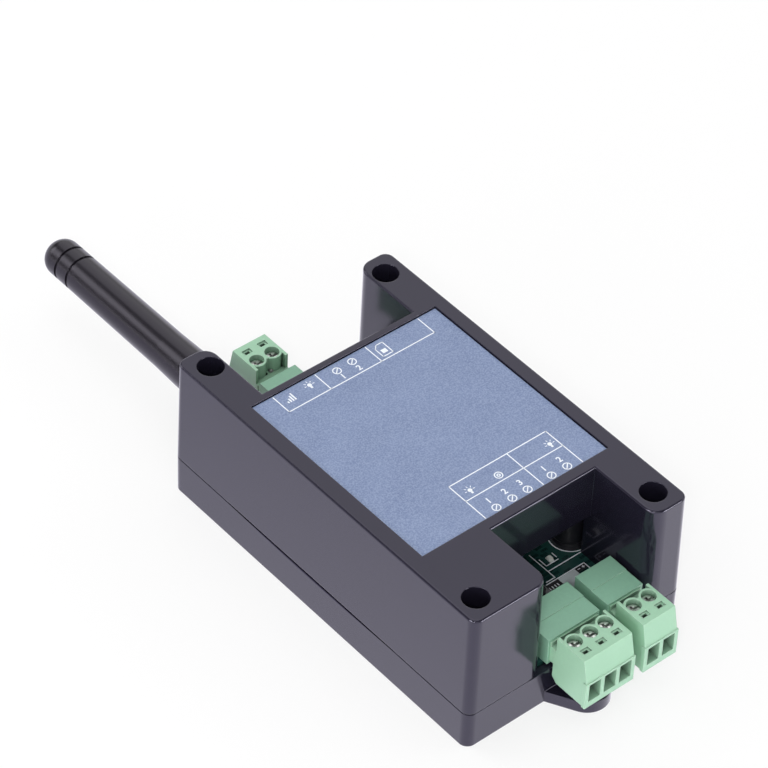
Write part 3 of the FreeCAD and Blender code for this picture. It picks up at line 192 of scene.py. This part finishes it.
def brightMetal(name, base, rough, grain=0.4, stretch=(1, 1, 1), tarnish=0.25, edge=0.1, depth=0.004,
                creviceShade=0):
    facts = metalFacts
    finish = Finish(name, Metallic=1.0)
    streaks = finish.noise(grain, 4, 0.6, stretch)
    stains = finish.noise(facts["stains"], 3, 0.6)
    body = finish.blend(stains, scaled(base, 1 - tarnish), base)
    # painted shade: darker in slots and holes
    if creviceShade:
        body = finish.shadeCrevices(body, facts["creviceShadeReach"], creviceShade)
    uneven = facts["roughStains"] * stains + facts["roughStreaks"] * streaks
    finish.drive(Base_Color=body, Roughness=rough + uneven)
    finish.surface(streaks, depth, edge)
    finishes[name] = finish.material


filmFacts = {"rough": 0.42, "speck": 0.42, "broad": 9, "pale": colour(150, 166, 200), "paleShare": 0.3,
             "grain": 0.5, "depth": 0.008, "edge": 0.08}


def labelFilm(name, base, speck):
    facts = filmFacts
    finish = Finish(name, Roughness=facts["rough"])
    specks = finish.noise(facts["speck"], 1, 0.5)
    tinted = finish.blend(specks * 3 - 1, speck, base)
    broad = finish.noise(facts["broad"], 2)
    finish.drive(Base_Color=finish.blend(broad * facts["paleShare"], tinted, facts["pale"]))
    finish.surface(finish.noise(facts["grain"], 2), facts["depth"], facts["edge"])
    finishes[name] = finish.material


boardFacts = {"rough": 0.24, "coat": 0.4, "coatRough": 0.12, "cell": (3.1, 1.27), "jitter": 0.55,
              "trackEdge": 0.34, "trackRise": 0.7, "weave": 0.5, "weaveStretch": (1, 0.2, 1),
              "weaveRise": 0.2, "depth": 0.02, "edge": 0.05}


def boardMask(name, base, trace):
    facts = boardFacts
    finish = Finish(name, Roughness=facts["rough"], Coat_Weight=facts["coat"],
                    Coat_Roughness=facts["coatRough"])
    wide, deep = facts["cell"]
    scale = (1 / (wide * mm), 1 / (deep * mm), 1)
    across = finish.make("ShaderNodeMapping", {}, {0: finish.place, 3: scale})
    cells = finish.make("ShaderNodeTexVoronoi", {"distance": "CHEBYCHEV", "feature": "F1"},
                        {"Vector": across, "Scale": 1.0, "Randomness": facts["jitter"]})
    tracks = cells > facts["trackEdge"]
    weave = finish.noise(facts["weave"], 2, 0.5, facts["weaveStretch"])
    finish.drive(Base_Color=finish.blend(tracks, base, trace))
    finish.surface(tracks * facts["trackRise"] + weave * facts["weaveRise"], facts["depth"], facts["edge"])
    finishes[name] = finish.material


# painted shade along the parting line of base and cover
casePartingShade = {"edge": 11.32, "middle": 3.0, "half": 33.0, "open": 0.7}
mouldedPlastic("caseCharcoal", colour(30, 28, 40), 0.12, grain=0.3, depth=0.0015, edge=0.35, mottle=0.03,
               parting=casePartingShade, Specular_Tint=(0.84, 0.81, 1.0, 1))
# painted shade: the header green is the plug green made darker for the shade of its window, with a slightly
# bluer tone
mouldedPlastic("headerGreen", colour(138, 186, 160), 0.45, grain=0.5, edge=0.15, rimHighlight=0.7, cloudy=0.08,
               creviceShade=0.9)
mouldedPlastic("plugGreen", colour(160, 204, 174), 0.42, grain=0.5, edge=0.2, rimHighlight=0.9, cloudy=0.05,
               creviceShade=0.95)
mouldedPlastic("antennaRubber", colour(14, 11, 17), 0.24, grain=0.2, depth=0.004, edge=0.1, mottle=0.04,
               Specular_Tint=(0.9, 0.85, 1.0, 1))
mouldedPlastic("blackResin", colour(42, 42, 45), 0.55, grain=0.15, depth=0.01, edge=0.1)
mouldedPlastic("relayBlue", colour(38, 78, 128), 0.35, grain=0.4, edge=0.2)
mouldedPlastic("sleeveBlack", colour(18, 18, 24), 0.4, grain=0.4, edge=0.3)
mouldedPlastic("ferriteGrey", colour(66, 66, 68), 0.75, grain=0.2, depth=0.02, edge=0.2)
mouldedPlastic("insulatorWhite", colour(232, 232, 228), 0.4, grain=0.3)
mouldedPlastic("cardWhite", colour(225, 228, 232), 0.4, grain=0.3)
mouldedPlastic("lampResin", colour(226, 230, 224), 0.2, grain=0.3, edge=0.1)
mouldedPlastic("printWhite", colour(236, 240, 246), 0.6, grain=0.4, depth=0.003, edge=0.0, mottle=0.02)
# painted shade: the board pad is the white print made grey, for the shade in the window
mouldedPlastic("patchGrey", colour(196, 206, 208), 0.5, grain=0.4, depth=0.003, edge=0.0, mottle=0.04)
mouldedPlastic("copperWinding", colour(170, 92, 50), 0.35, grain=0.2, depth=0.03)
brightMetal("zincSteel", colour(236, 236, 234), 0.22, tarnish=0.1, creviceShade=1.2)
brightMetal("nickelPlate", colour(150, 148, 142), 0.4)
brightMetal("tinPlate", colour(206, 206, 204), 0.34)
brightMetal("shieldTin", colour(200, 202, 204), 0.38, grain=1.2, stretch=(0.2, 1, 1), depth=0.006)
brightMetal("softIron", colour(170, 168, 160), 0.4)
brightMetal("goldPlate", colour(226, 190, 112), 0.26)
brightMetal("silverBronze", colour(210, 170, 110), 0.3)
labelFilm("labelBlue", colour(131, 146, 176), colour(94, 110, 148))
boardMask("boardTeal", colour(22, 52, 50), colour(34, 70, 66))
boardMask("moduleGreen", colour(24, 60, 44), colour(34, 76, 56))
print("finishes ready:", len(finishes))

terminals = ("relay", "power", "switch")
finishOfNode = {
    "caseCharcoal": ["base_shell", "top_cover"],
    "labelBlue": ["label_plate"],
    "boardTeal": ["circuit_board"],
    "headerGreen": [f"{name}_header" for name in terminals],
    "plugGreen": [f"{name}_plug" for name in terminals],
    "tinPlate": [f"{name}_{part}" for name in terminals for part in ("header_pins", "plug_contacts")],
    "nickelPlate": [name for name in nodes if "_clamp_" in name],
    "antennaRubber": ["antenna_sleeve"],
    "goldPlate": ["antenna_socket", "socket_contact", "antenna_nut", "antenna_core"],
    "insulatorWhite": ["socket_insulator"],
    "relayBlue": ["relay_case"],
    "blackResin": ["relay_base", "microcontroller", "voltage_regulator", "power_diode", "sim_socket",
                   "reset_button"],
    "softIron": ["relay_yoke", "relay_armature"],
    "copperWinding": ["relay_coil"],
    "silverBronze": ["relay_contacts"],
    "moduleGreen": ["gsm_module"],
    "shieldTin": ["gsm_shield", "reset_switch", "sim_shell"],
    "sleeveBlack": ["power_capacitor", "filter_capacitor"],
    "ferriteGrey": ["power_inductor"],
    "lampResin": ["status_leds"],
    "cardWhite": ["sim_card"],
}
for finishName, members in finishOfNode.items():
    for member in members:
        nodes[member].data.materials.clear()
        nodes[member].data.materials.append(finishes[finishName])
print("case, terminals and electronics dressed")


# geometry trees

def newTree(name, inputs):
    tree = bpy.data.node_groups.new(name, "GeometryNodeTree")
    tree.interface.new_socket("Geometry", in_out="INPUT", socket_type="NodeSocketGeometry")
    for label, value in inputs.items():
        socket = tree.interface.new_socket(label, in_out="INPUT", socket_type="NodeSocketFloat")
        socket.default_value = value
    tree.interface.new_socket("Geometry", in_out="OUTPUT", socket_type="NodeSocketGeometry")
    bench = Bench(tree)
    entry = tree.nodes.new("NodeGroupInput")
    given = {socket.name: Flow(bench, socket) for socket in entry.outputs if socket.name}
    return bench, given


def closeTree(bench, geometry, material):
    real = bench.make("GeometryNodeRealizeInstances", {}, {0: geometry})
    painted = bench.make("GeometryNodeSetMaterial", {}, {0: real, 2: material})
    bench.make("NodeGroupOutput", {}, {0: painted})
    return bench.tree


def asMesh(item):  # the evaluated shape as a plain mesh
    bpy.context.view_layer.update()
    return bpy.data.meshes.new_from_object(item.evaluated_get(bpy.context.evaluated_depsgraph_get()))


def settle(piece, body, replaced):
    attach(piece, body)
    if replaced:
        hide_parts(replaced)


def addPiece(name, mesh, body, replaced):
    piece = bpy.data.objects.new(name, mesh)
    bpy.context.scene.collection.objects.link(piece)
    settle(piece, body, replaced)


def addMesh(name, bm, finishName, body):
    mesh = bpy.data.meshes.new(name)
    bm.to_mesh(mesh)
    bm.free()
    mesh.materials.append(finishes[finishName])
    addPiece(name, mesh, body, None)


def run(tree, name, places, values, body, replaced):  # one tree on a list of places, in mm
    mesh = bpy.data.meshes.new(name)
    mesh.from_pydata([tuple(part * mm for part in place) for place in places], [], [])
    host = bpy.data.objects.new(name, mesh)
    bpy.context.scene.collection.objects.link(host)
    build = host.modifiers.new("build", "NODES")
    build.node_group = tree
    keys = {item.name: item.identifier for item in tree.interface.items_tree if item.in_out == "INPUT"}
    for label, value in values.items():
        build[keys[label]] = value
    plain = asMesh(host)
    host.modifiers.remove(build)
    host.data = plain
    plain.name = name
    settle(host, body, replaced)


# screws: a combination head with slot and cross over a threaded shank

screwForm = {  # shares of the head's radius and height, then of the shank's radius and length
    "collar": 0.8, "dome": 0.2, "domeTop": 0.86, "slotSpan": 4.0, "crossSpan": 1.2,
    "core": 0.9, "ridge": 0.1, "shankTall": 1.01, "threadTall": 0.9, "threadFoot": -0.95,
}


def screwTree(form):
    bench, given = newTree("screwTree", {
        "Head Radius": 0.0019, "Head Height": 0.0018, "Slot Width": 0.0007, "Slot Depth": 0.0007,
        "Shank Radius": 0.00145, "Shank Length": 0.0045, "Pitch": 0.0005})
    radius, height = given["Head Radius"], given["Head Height"]
    length, core = given["Shank Length"], given["Shank Radius"]

    def lift(geometry, z):
        spot = bench.make("ShaderNodeCombineXYZ", {}, {2: z})
        return bench.make("GeometryNodeTransform", {}, {"Geometry": geometry, "Translation": spot})

    def drum(lower, upper, tall, foot):
        cone = bench.make("GeometryNodeMeshCone", {}, {
            "Vertices": 32, "Radius Top": upper, "Radius Bottom": lower, "Depth": tall})
        return lift(cone, foot)

    def carve(operation, sockets):
        return bench.make("GeometryNodeMeshBoolean", {"operation": operation, "solver": "EXACT"}, sockets)

    collar = drum(radius, radius, height * form["collar"], 0.0)
    dome = drum(radius, radius * form["domeTop"], height * form["dome"], height * form["collar"])
    head = carve("UNION", {1: [collar, dome]})
    slot = given["Slot Width"]
    for across, deep in ((radius * form["slotSpan"], slot), (slot, radius * form["crossSpan"])):
        size = bench.make("ShaderNodeCombineXYZ", {}, {0: across, 1: deep, 2: given["Slot Depth"] * 2})
        cut = lift(bench.make("GeometryNodeMeshCube", {}, {"Size": size}), height)
        head = carve("DIFFERENCE", {0: head, 1: cut})
    inner = core * form["core"]
    shank = drum(inner, inner, length * form["shankTall"], length * -1)
    wound = length * form["threadTall"]
    thread = bench.make("GeometryNodeCurveSpiral", {}, {
        "Resolution": 20, "Rotations": wound / given["Pitch"], "Start Radius": inner,
        "End Radius": inner, "Height": wound})
    ridge = bench.make("GeometryNodeCurvePrimitiveCircle", {}, {
        "Resolution": 4, "Radius": core * form["ridge"]})
    thread = bench.make("GeometryNodeCurveToMesh", {}, {
        "Curve": thread, "Profile Curve": ridge, "Fill Caps": True})
    thread = lift(thread, length * form["threadFoot"])
    whole = bench.make("GeometryNodeJoinGeometry", {}, {0: [head, shank, thread]})
    screws = bench.make("GeometryNodeInstanceOnPoints", {}, {"Points": given["Geometry"], "Instance": whole})
    return closeTree(bench, screws, finishes["zincSteel"])


terminalScrew = {"Head Radius": 1.9 * mm, "Head Height": 1.5 * mm, "Slot Width": 0.7 * mm,
                 "Slot Depth": 0.7 * mm, "Shank Radius": 1.45 * mm, "Shank Length": 4.5 * mm,
                 "Pitch": 0.5 * mm}
coverScrew = {"Head Radius": 2.8 * mm, "Head Height": 2.0 * mm, "Slot Width": 0.8 * mm,
              "Slot Depth": 1.1 * mm, "Shank Radius": 1.45 * mm, "Shank Length": 10.0 * mm,
              "Pitch": 1.1 * mm}
boardScrew = {"Head Radius": 2.4 * mm, "Head Height": 1.5 * mm, "Slot Width": 0.7 * mm,
              "Slot Depth": 0.8 * mm, "Shank Radius": 1.2 * mm, "Shank Length": 7.0 * mm,
              "Pitch": 0.9 * mm}
screws = screwTree(screwForm)


def middleOf(node):
    low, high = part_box(node)
    return (low + high) / 2 / mm


def topOf(node):
    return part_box(node)[1].z / mm


def cornersOf(node, inset):
    low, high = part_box(node)
    xs = (low.x / mm + inset, high.x / mm - inset)
    ys = (low.y / mm + inset, high.y / mm - inset)
    return [(x, y) for x in xs for y in ys]


for name in sorted(key for key in nodes if "_screw_" in key):
    centre = middleOf(name)
    seat = topOf(name) - terminalScrew["Head Height"] / mm
    run(screws, f"{name}_turned", [(centre.x, centre.y, seat)], terminalScrew, name, name)

for node, sizes in (("cover_screws", coverScrew), ("board_screws", boardScrew)):
    seat = topOf(node) - sizes["Head Height"] / mm
    places = [(x, y, seat) for x, y in cornersOf(node, sizes["Head Radius"] / mm)]
    run(screws, f"{node}_turned", places, sizes, "case", node)
print("screws turned")


# the antenna's whip is a wound coil

def coilTree():
    bench, given = newTree("coilTree", {
        "Coil Radius": 0.001, "Coil Length": 0.05, "Turns": 24.0, "Wire": 0.0003})
    spiral = bench.make("GeometryNodeCurveSpiral", {}, {
        "Resolution": 24, "Rotations": given["Turns"], "Start Radius": given["Coil Radius"],
        "End Radius": given["Coil Radius"], "Height": given["Coil Length"]})
    wire = bench.make("GeometryNodeCurvePrimitiveCircle", {}, {"Resolution": 8, "Radius": given["Wire"]})
    wound = bench.make("GeometryNodeCurveToMesh", {}, {
        "Curve": spiral, "Profile Curve": wire, "Fill Caps": True})
    laid = bench.make("GeometryNodeTransform", {}, {"Geometry": wound, "Rotation": (-math.pi / 2, 0, 0)})
    placed = bench.make("GeometryNodeInstanceOnPoints", {}, {"Points": given["Geometry"], "Instance": laid})
    return closeTree(bench, placed, finishes["silverBronze"])


whipFacts = {"radius": 1.0, "wire": 0.3, "turns": 26.0}
whipLow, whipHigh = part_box("antenna_whip")
whipCoil = {"Coil Radius": whipFacts["radius"] * mm, "Turns": whipFacts["turns"],
            "Wire": whipFacts["wire"] * mm,
            "Coil Length": whipHigh.y - whipLow.y - 2 * whipFacts["wire"] * mm}
whipPlace = ((whipLow.x + whipHigh.x) / 2 / mm, whipLow.y / mm + whipFacts["wire"],
             (whipLow.z + whipHigh.z) / 2 / mm)
run(coilTree(), "antenna_coil", [whipPlace], whipCoil, "antenna_core", "antenna_whip")
print("antenna coil wound")


# print on the label and on the board

labelTop = topOf("label_plate")
boardTop = topOf("circuit_board")
inkThick = 0.02


def addBar(bm, x, y, z):  # a thin bar between two corners
    low = Vector((min(x), min(y), z)) * mm
    high = Vector((max(x), max(y), z + inkThick)) * mm
    place = Matrix.Translation((low + high) / 2) @ Matrix.Diagonal((*(high - low), 1))
    bmesh.ops.create_cube(bm, size=1, matrix=place)


def addLine(bm, start, end, z, wide):  # a thin bar along a slanted line
    first, last = Vector(start), Vector(end)
    along = last - first
    turn = Matrix.Rotation(math.atan2(along.y, along.x), 4, "Z")
    middle = (first + last) / 2
    place = Matrix.Translation(Vector((middle.x, middle.y, z + inkThick / 2)) * mm) @ turn
    place = place @ Matrix.Diagonal((along.length * mm + wide * mm, wide * mm, inkThick * mm, 1))
    bmesh.ops.create_cube(bm, size=1, matrix=place)


def addDisc(bm, x, y, z, radius):
    place = Matrix.Translation(Vector((x, y, z + inkThick / 2)) * mm)
    bmesh.ops.create_cone(bm, cap_ends=True, segments=24, radius1=radius * mm, radius2=radius * mm,
                          depth=inkThick * mm, matrix=place)


labelPrint = {
    "line": 0.3,
    "frontTable": {"x": (-9.4, 22.8), "rear": -18.6, "middle": -25.0, "front": -32.3, "divider": 9.5},
    "rearStrip": {"x": (-23.5, 24.6), "front": 26.2, "rear": 33.0, "dividers": (-9.9, 6.7)},
    "terminals": [(-4.7, -31.0), (0.5, -31.0), (5.5, -31.0), (13.4, -31.0), (18.6, -31.0),
                  (-4.4, 30.6), (0.8, 30.9)],
    "terminalRadius": 1.25,
    "lamps": [(-5.9, -22.5), (20.4, -22.5), (-13.2, 30.8)],
    "bulb": {"radius": 0.62, "half": 0.3, "foot": (-1.25, -0.5)},
    "rays": {"angles": (0, 45, 90, 135, 180), "from": 1.05, "to": 1.45, "line": 0.2},
    "reset": (3.1, -22.9),
    "resetRadii": {"ring": 1.2, "dot": 0.55},
    "signal": (-21.3, 28.8),
    "signalBars": {"Wide": 0.42 * mm, "Gap": 0.75 * mm, "Step": 0.68 * mm, "Thick": inkThick * mm},
    "card": (9.9, 29.6),
    "cardOutline": [(-1.6, -2.2), (1.6, -2.2), (1.6, 2.2), (-0.5, 2.2), (-1.6, 1.0), (-1.6, -2.2)],
    "cardLine": 0.28,
    "cardPad": {"x": (-0.8, 0.8), "y": (-1.3, 0.1)},
    "numbers": [("1", -4.7, -28.1), ("2", 0.5, -28.1), ("3", 5.5, -28.1), ("1", 13.4, -28.1),
                ("2", 18.6, -28.1), ("1", -4.4, 28.0), ("2", 0.8, 28.0)],
    "numberSize": 2.6,
    "numberWeight": 0.05,
}


def addFrames(bm, facts):
    wide = facts["line"]
    table = facts["frontTable"]
    left, right = table["x"]
    for y in (table["rear"], table["middle"]):
        addBar(bm, (left, right), (y, y + wide), labelTop)
    outer = table["rear"] + wide
    for x, rear in ((left, outer), (right - wide, outer), (table["divider"], table["rear"])):
        addBar(bm, (x, x + wide), (table["front"], rear), labelTop)
    strip = facts["rearStrip"]
    left, right = strip["x"]
    addBar(bm, (left, right), (strip["front"], strip["front"] + wide), labelTop)
    for x in (left, right - wide, *strip["dividers"]):
        addBar(bm, (x, x + wide), (strip["front"], strip["rear"]), labelTop)


def addLampSign(bm, x, y, bulb, rays):  # a small lamp with rays
    addDisc(bm, x, y, labelTop, bulb["radius"])
    addBar(bm, (x - bulb["half"], x + bulb["half"]), [y + part for part in bulb["foot"]], labelTop)
    for angle in rays["angles"]:
        spoke = Vector((math.cos(math.radians(angle)), math.sin(math.radians(angle))))
        start, end = ((x + spoke.x * rays[part], y + spoke.y * rays[part]) for part in ("from", "to"))
        addLine(bm, start, end, labelTop, rays["line"])


def addCardSign(bm, facts):  # a card outline with one cut corner and its contact pad
    x, y = facts["card"]
    outline = [(x + across, y + along) for across, along in facts["cardOutline"]]
    for first, last in zip(outline, outline[1:]):
        addLine(bm, first, last, labelTop, facts["cardLine"])
    pad = facts["cardPad"]
    addBar(bm, [x + part for part in pad["x"]], [y + part for part in pad["y"]], labelTop)


def printLabel(facts):
    bm = bmesh.new()
    addFrames(bm, facts)
    for x, y in facts["lamps"]:
        addLampSign(bm, x, y, facts["bulb"], facts["rays"])
    addCardSign(bm, facts)
    addMesh("label_print", bm, "printWhite", "case")


def printNumbers(facts):
    for index, (mark, x, y) in enumerate(facts["numbers"], start=1):
        curve = bpy.data.curves.new(f"number_{index}", "FONT")
        curve.body = mark
        curve.size = facts["numberSize"] * mm
        curve.extrude = inkThick * mm / 2
        curve.offset = facts["numberWeight"] * mm
        curve.align_x = "CENTER"
        curve.align_y = "CENTER"
        curve.resolution_u = 3
        written = bpy.data.objects.new("number", curve)
        bpy.context.scene.collection.objects.link(written)
        plain = asMesh(written)
        bpy.data.objects.remove(written)
        plain.transform(Matrix.Translation(Vector((x, y, labelTop + inkThick / 2)) * mm))
        plain.materials.clear()
        plain.materials.append(finishes["printWhite"])
        addPiece(f"label_number_{index}", plain, "case", None)


slashFacts = {"span": 1.8, "turn": math.radians(45)}  # its length as a share of the ring's radius


def ringTree(facts):  # a ring, with a slash across it where Slash is 1
    bench, given = newTree("ringTree", {"Radius": 0.0012, "Line": 0.0003, "Thick": 0.00002, "Slash": 1.0})
    circles = [bench.make("GeometryNodeCurvePrimitiveCircle", {}, {
        "Resolution": 32, "Radius": given["Radius"] - given["Line"] * inside}) for inside in (0, 1)]
    both = bench.make("GeometryNodeJoinGeometry", {}, {0: circles})
    ring = bench.make("GeometryNodeFillCurve", {}, {0: both})
    slash = bench.make("GeometryNodeCurvePrimitiveQuadrilateral", {}, {
        "Width": given["Radius"] * facts["span"] * given["Slash"], "Height": given["Line"]})
    slash = bench.make("GeometryNodeTransform", {}, {"Geometry": slash, "Rotation": (0, 0, facts["turn"])})
    slash = bench.make("GeometryNodeFillCurve", {}, {0: slash})
    flat = bench.make("GeometryNodeJoinGeometry", {}, {0: [ring, slash]})
    rise = bench.make("ShaderNodeCombineXYZ", {}, {2: given["Thick"]})
    raised = bench.make("GeometryNodeExtrudeMesh", {}, {
        "Mesh": flat, "Offset": rise, "Offset Scale": 1.0, "Individual": False})
    placed = bench.make("GeometryNodeInstanceOnPoints", {}, {"Points": given["Geometry"], "Instance": raised})
    return closeTree(bench, placed, finishes["printWhite"])


def barTree():  # four bars, each a step taller than the one before
    bench, given = newTree("barTree", {"Wide": 0.0004, "Gap": 0.0007, "Step": 0.0006, "Thick": 0.00002})
    step = bench.make("ShaderNodeCombineXYZ", {}, {0: given["Gap"]})
    row = bench.make("GeometryNodeMeshLine", {"mode": "OFFSET"}, {"Count": 4, "Offset": step})
    tall = given["Step"] * (bench.make("GeometryNodeInputIndex") + 1)
    unit = bench.make("GeometryNodeMeshCube", {}, {"Size": (1, 1, 1)})
    unit = bench.make("GeometryNodeTransform", {}, {"Geometry": unit, "Translation": (0, 0.5, 0.5)})
    size = bench.make("ShaderNodeCombineXYZ", {}, {0: given["Wide"], 1: tall, 2: given["Thick"]})
    bars = bench.make("GeometryNodeInstanceOnPoints", {}, {"Points": row, "Instance": unit, "Scale": size})
    placed = bench.make("GeometryNodeInstanceOnPoints", {}, {"Points": given["Geometry"], "Instance": bars})
    return closeTree(bench, placed, finishes["printWhite"])


rings = ringTree(slashFacts)
ringSizes = {"Line": labelPrint["line"] * mm, "Thick": inkThick * mm}


def printRings(name, places, radius, slash):
    sizes = {**ringSizes, "Radius": radius * mm, "Slash": slash}
    run(rings, name, places, sizes, "case", None)


printLabel(labelPrint)
printNumbers(labelPrint)
terminalPlaces = [(x, y, labelTop) for x, y in labelPrint["terminals"]]
printRings("label_terminal_marks", terminalPlaces, labelPrint["terminalRadius"], 1.0)
for part, radius in labelPrint["resetRadii"].items():
    printRings(f"label_reset_{part}", [(*labelPrint["reset"], labelTop)], radius, 0.0)
run(barTree(), "label_signal_bars", [(*labelPrint["signal"], labelTop)], labelPrint["signalBars"],
    "case", None)

boardPrint = {
    "line": 0.3,
    "lines": [((12.4, -26.7), (12.4, -36.3)), ((12.7, -33.8), (26.0, -33.8)),
              ((9.6, -36.35), (12.4, -36.35)), ((8.9, -37.05), (21.6, -37.05)),
              ((21.6, -37.05), (21.6, -43.5)), ((13.35, -32.1), (13.35, -29.4)),
              ((13.35, -32.1), (17.3, -32.1)), ((17.5, -29.6), (17.5, -31.2))],
    "rings": [(25.1, -27.7, 5.8)],
    "patch": ((12.6, 18.2), (-43.0, -37.25)),
    "tags": [((8.0, 12.6), (-39.9, -37.3)), ((18.2, 21.4), (-38.8, -37.3))],
    "ticks": [((8.6, 8.9), (-39.2, -38.2)), ((9.5, 9.8), (-39.2, -38.2)), ((10.4, 10.7), (-39.2, -38.2)),
              ((11.3, 11.6), (-39.2, -38.2)), ((8.3, 12.2), (-39.6, -39.4)), ((18.7, 19.5), (-38.1, -37.8)),
              ((20.2, 21.0), (-38.1, -37.8)), ((20.45, 20.75), (-38.35, -37.55))],
}


def printBoard(facts):
    bm = bmesh.new()
    for start, end in facts["lines"]:
        addLine(bm, start, end, boardTop, facts["line"])
    for tick in facts["ticks"]:  # on top of the dark tags
        addBar(bm, *tick, boardTop + inkThick)
    addMesh("board_print", bm, "printWhite", "case")
    bm = bmesh.new()
    addBar(bm, *facts["patch"], boardTop)
    addMesh("board_pad", bm, "patchGrey", "case")
    bm = bmesh.new()
    for tag in facts["tags"]:
        addBar(bm, *tag, boardTop)
    addMesh("board_tags", bm, "blackResin", "case")
    for index, (x, y, radius) in enumerate(facts["rings"], start=1):
        printRings(f"board_ring_{index}", [(x, y, boardTop)], radius, 0.0)


printBoard(boardPrint)
print("label and board printed")


# studio: a pale floor and backdrop, and what glossy surfaces see in their place

def rayKinds(bench):
    names = ("Is Camera Ray", "Is Glossy Ray", "Is Transmission Ray")
    return [bench.make("ShaderNodeLightPath", out=name) for name in names]


floorFacts = {
    "half": 6, "drop": 0.1 * mm,  # a hair below the base, so that no two faces share a plane
    "pale": grey(0.94), "rough": 0.7, "gloss": 0.2,
    "seenShare": 0.75, "mirroredShare": 0.85, "mirroredLift": 0.4,
    "along": (3.0, -3.0, 0), "rearTint": (0.74, 0.72, 0.85, 1), "frontTint": (1.37, 1.34, 1.47, 1),
}


def paleFloor(name, facts):
    material = bpy.data.materials.new(name)
    material.use_nodes = True
    bench = Bench(material.node_tree)
    shader = material.node_tree.nodes["Principled BSDF"]
    shader.inputs["Base Color"].default_value = facts["pale"]
    shader.inputs["Roughness"].default_value = facts["rough"]
    shader.inputs["Specular IOR Level"].default_value = facts["gloss"]
    seen, mirrored, through = rayKinds(bench)
    place = bench.make("ShaderNodeTexCoord", out=3)
    along = bench.dot(place, facts["along"])
    tint = bench.blend(along + 0.5, facts["rearTint"], facts["frontTint"])  # brighter to the front right
    shown = bench.blend(mirrored, grey(1), tint)
    glow = bench.make("ShaderNodeEmission", {}, {0: shown, 1: 1.0 + facts["mirroredLift"] * mirrored})
    shaded = Flow(bench, shader.outputs[0])
    share = (seen + through) * facts["seenShare"] + mirrored * facts["mirroredShare"]
    mixed = bench.make("ShaderNodeMixShader", {}, {0: share, 1: shaded, 2: glow})
    material.node_tree.links.new(mixed.socket, material.node_tree.nodes["Material Output"].inputs[0])
    return material


floorShape = bmesh.new()
bmesh.ops.create_grid(floorShape, x_segments=1, y_segments=1, size=floorFacts["half"],
                      matrix=Matrix.Translation((0, 0, -floorFacts["drop"])))
floorMesh = bpy.data.meshes.new("floor")
floorShape.to_mesh(floorMesh)
floorShape.free()
floorMesh.materials.append(paleFloor("floorPale", floorFacts))
floor = bpy.data.objects.new("floor", floorMesh)
bpy.context.scene.collection.objects.link(floor)

studio = {
    "ambient": 0.62, "mirroredLift": 0.36,
    "dark": 1.2, "darkRise": (0.12, 0.32),  # the dark above, by the height of the direction
    "softbox": (0.474, 0.511, 0.717), "softboxEdge": (0.84, 0.93),
    "glints": ((-0.874, 0.05, 0.483), (0.367, -0.915, 0.17)), "glintEdge": (0.965, 0.985), "glintPower": 15.0,
}
world = bpy.context.scene.world or bpy.data.worlds.new("studio")
bpy.context.scene.world = world
world.use_nodes = True
world.node_tree.nodes.clear()
sky = Bench(world.node_tree)
seen, mirrored, through = rayKinds(sky)
heading = sky.make("ShaderNodeTexCoord")
height = sky.make("ShaderNodeSeparateXYZ", {}, {0: heading}, 2)


def ramp(value, low, high):
    return sky.make("ShaderNodeMapRange", {"interpolation_type": "SMOOTHSTEP"}, {0: value, 1: low, 2: high})


towardsSoftbox = ramp(sky.dot(heading, studio["softbox"]), *studio["softboxEdge"])
ceiling = ramp(height, *studio["darkRise"]) * (1 - towardsSoftbox)
first, second = (ramp(sky.dot(heading, glint), *studio["glintEdge"]) for glint in studio["glints"])
reflected = studio["mirroredLift"] - studio["dark"] * ceiling + studio["glintPower"] * (first + second)
ambient = sky.make("ShaderNodeBackground", {}, {0: grey(1), 1: studio["ambient"]})
backdrop = sky.make("ShaderNodeBackground", {}, {0: grey(1), 1: 1.0 + reflected * mirrored})
mixed = sky.make("ShaderNodeMixShader", {}, {0: seen + through + mirrored, 1: ambient, 2: backdrop})
sky.make("ShaderNodeOutputWorld", {}, {0: mixed})

lampAim = Vector((0, 0, 0.02))
lamps = {  # place in metres, watts, size in metres
    "frontSoft": ((-0.55, -1.05, 0.75), 2.1, 0.8),
    "rightSoft": ((0.95, -0.35, 0.7), 1.8, 0.7),
    "overhead": ((0.1, 0.35, 1.3), 2.2, 0.9),
    "rearSoft": ((-0.6, 1.1, 0.75), 4.4, 0.7),
    "leftLow": ((-1.3, -0.55, 0.3), 7.0, 0.8),
    "byCamera": ((-0.66, -0.62, 0.86), 3.0, 0.12),
}
for lampName, (place, power, size) in lamps.items():
    lampData = bpy.data.lights.new(lampName, "AREA")
    lampData.energy = power
    lampData.size = size
    lamp = bpy.data.objects.new(lampName, lampData)
    lamp.location = place
    lamp.rotation_mode = "QUATERNION"
    lamp.rotation_quaternion = (Vector(place) - lampAim).to_track_quat("Z", "Y")
    bpy.context.scene.collection.objects.link(lamp)

cameraFacts = {"place": (-0.46551, -0.50235, 0.70402), "turn": (46.649, -1.928, -40.026),
               "lens": 178.92, "sensor": 36, "clip": (0.05, 20)}
cameraData = bpy.data.cameras.new("camera")
cameraData.lens = cameraFacts["lens"]
cameraData.sensor_width = cameraFacts["sensor"]
cameraData.clip_start, cameraData.clip_end = cameraFacts["clip"]
camera = bpy.data.objects.new("camera", cameraData)
camera.location = cameraFacts["place"]
camera.rotation_euler = [math.radians(angle) for angle in cameraFacts["turn"]]
bpy.context.scene.collection.objects.link(camera)
bpy.context.scene.camera = camera
bpy.context.scene.view_settings.view_transform = "Standard"
print("studio set")
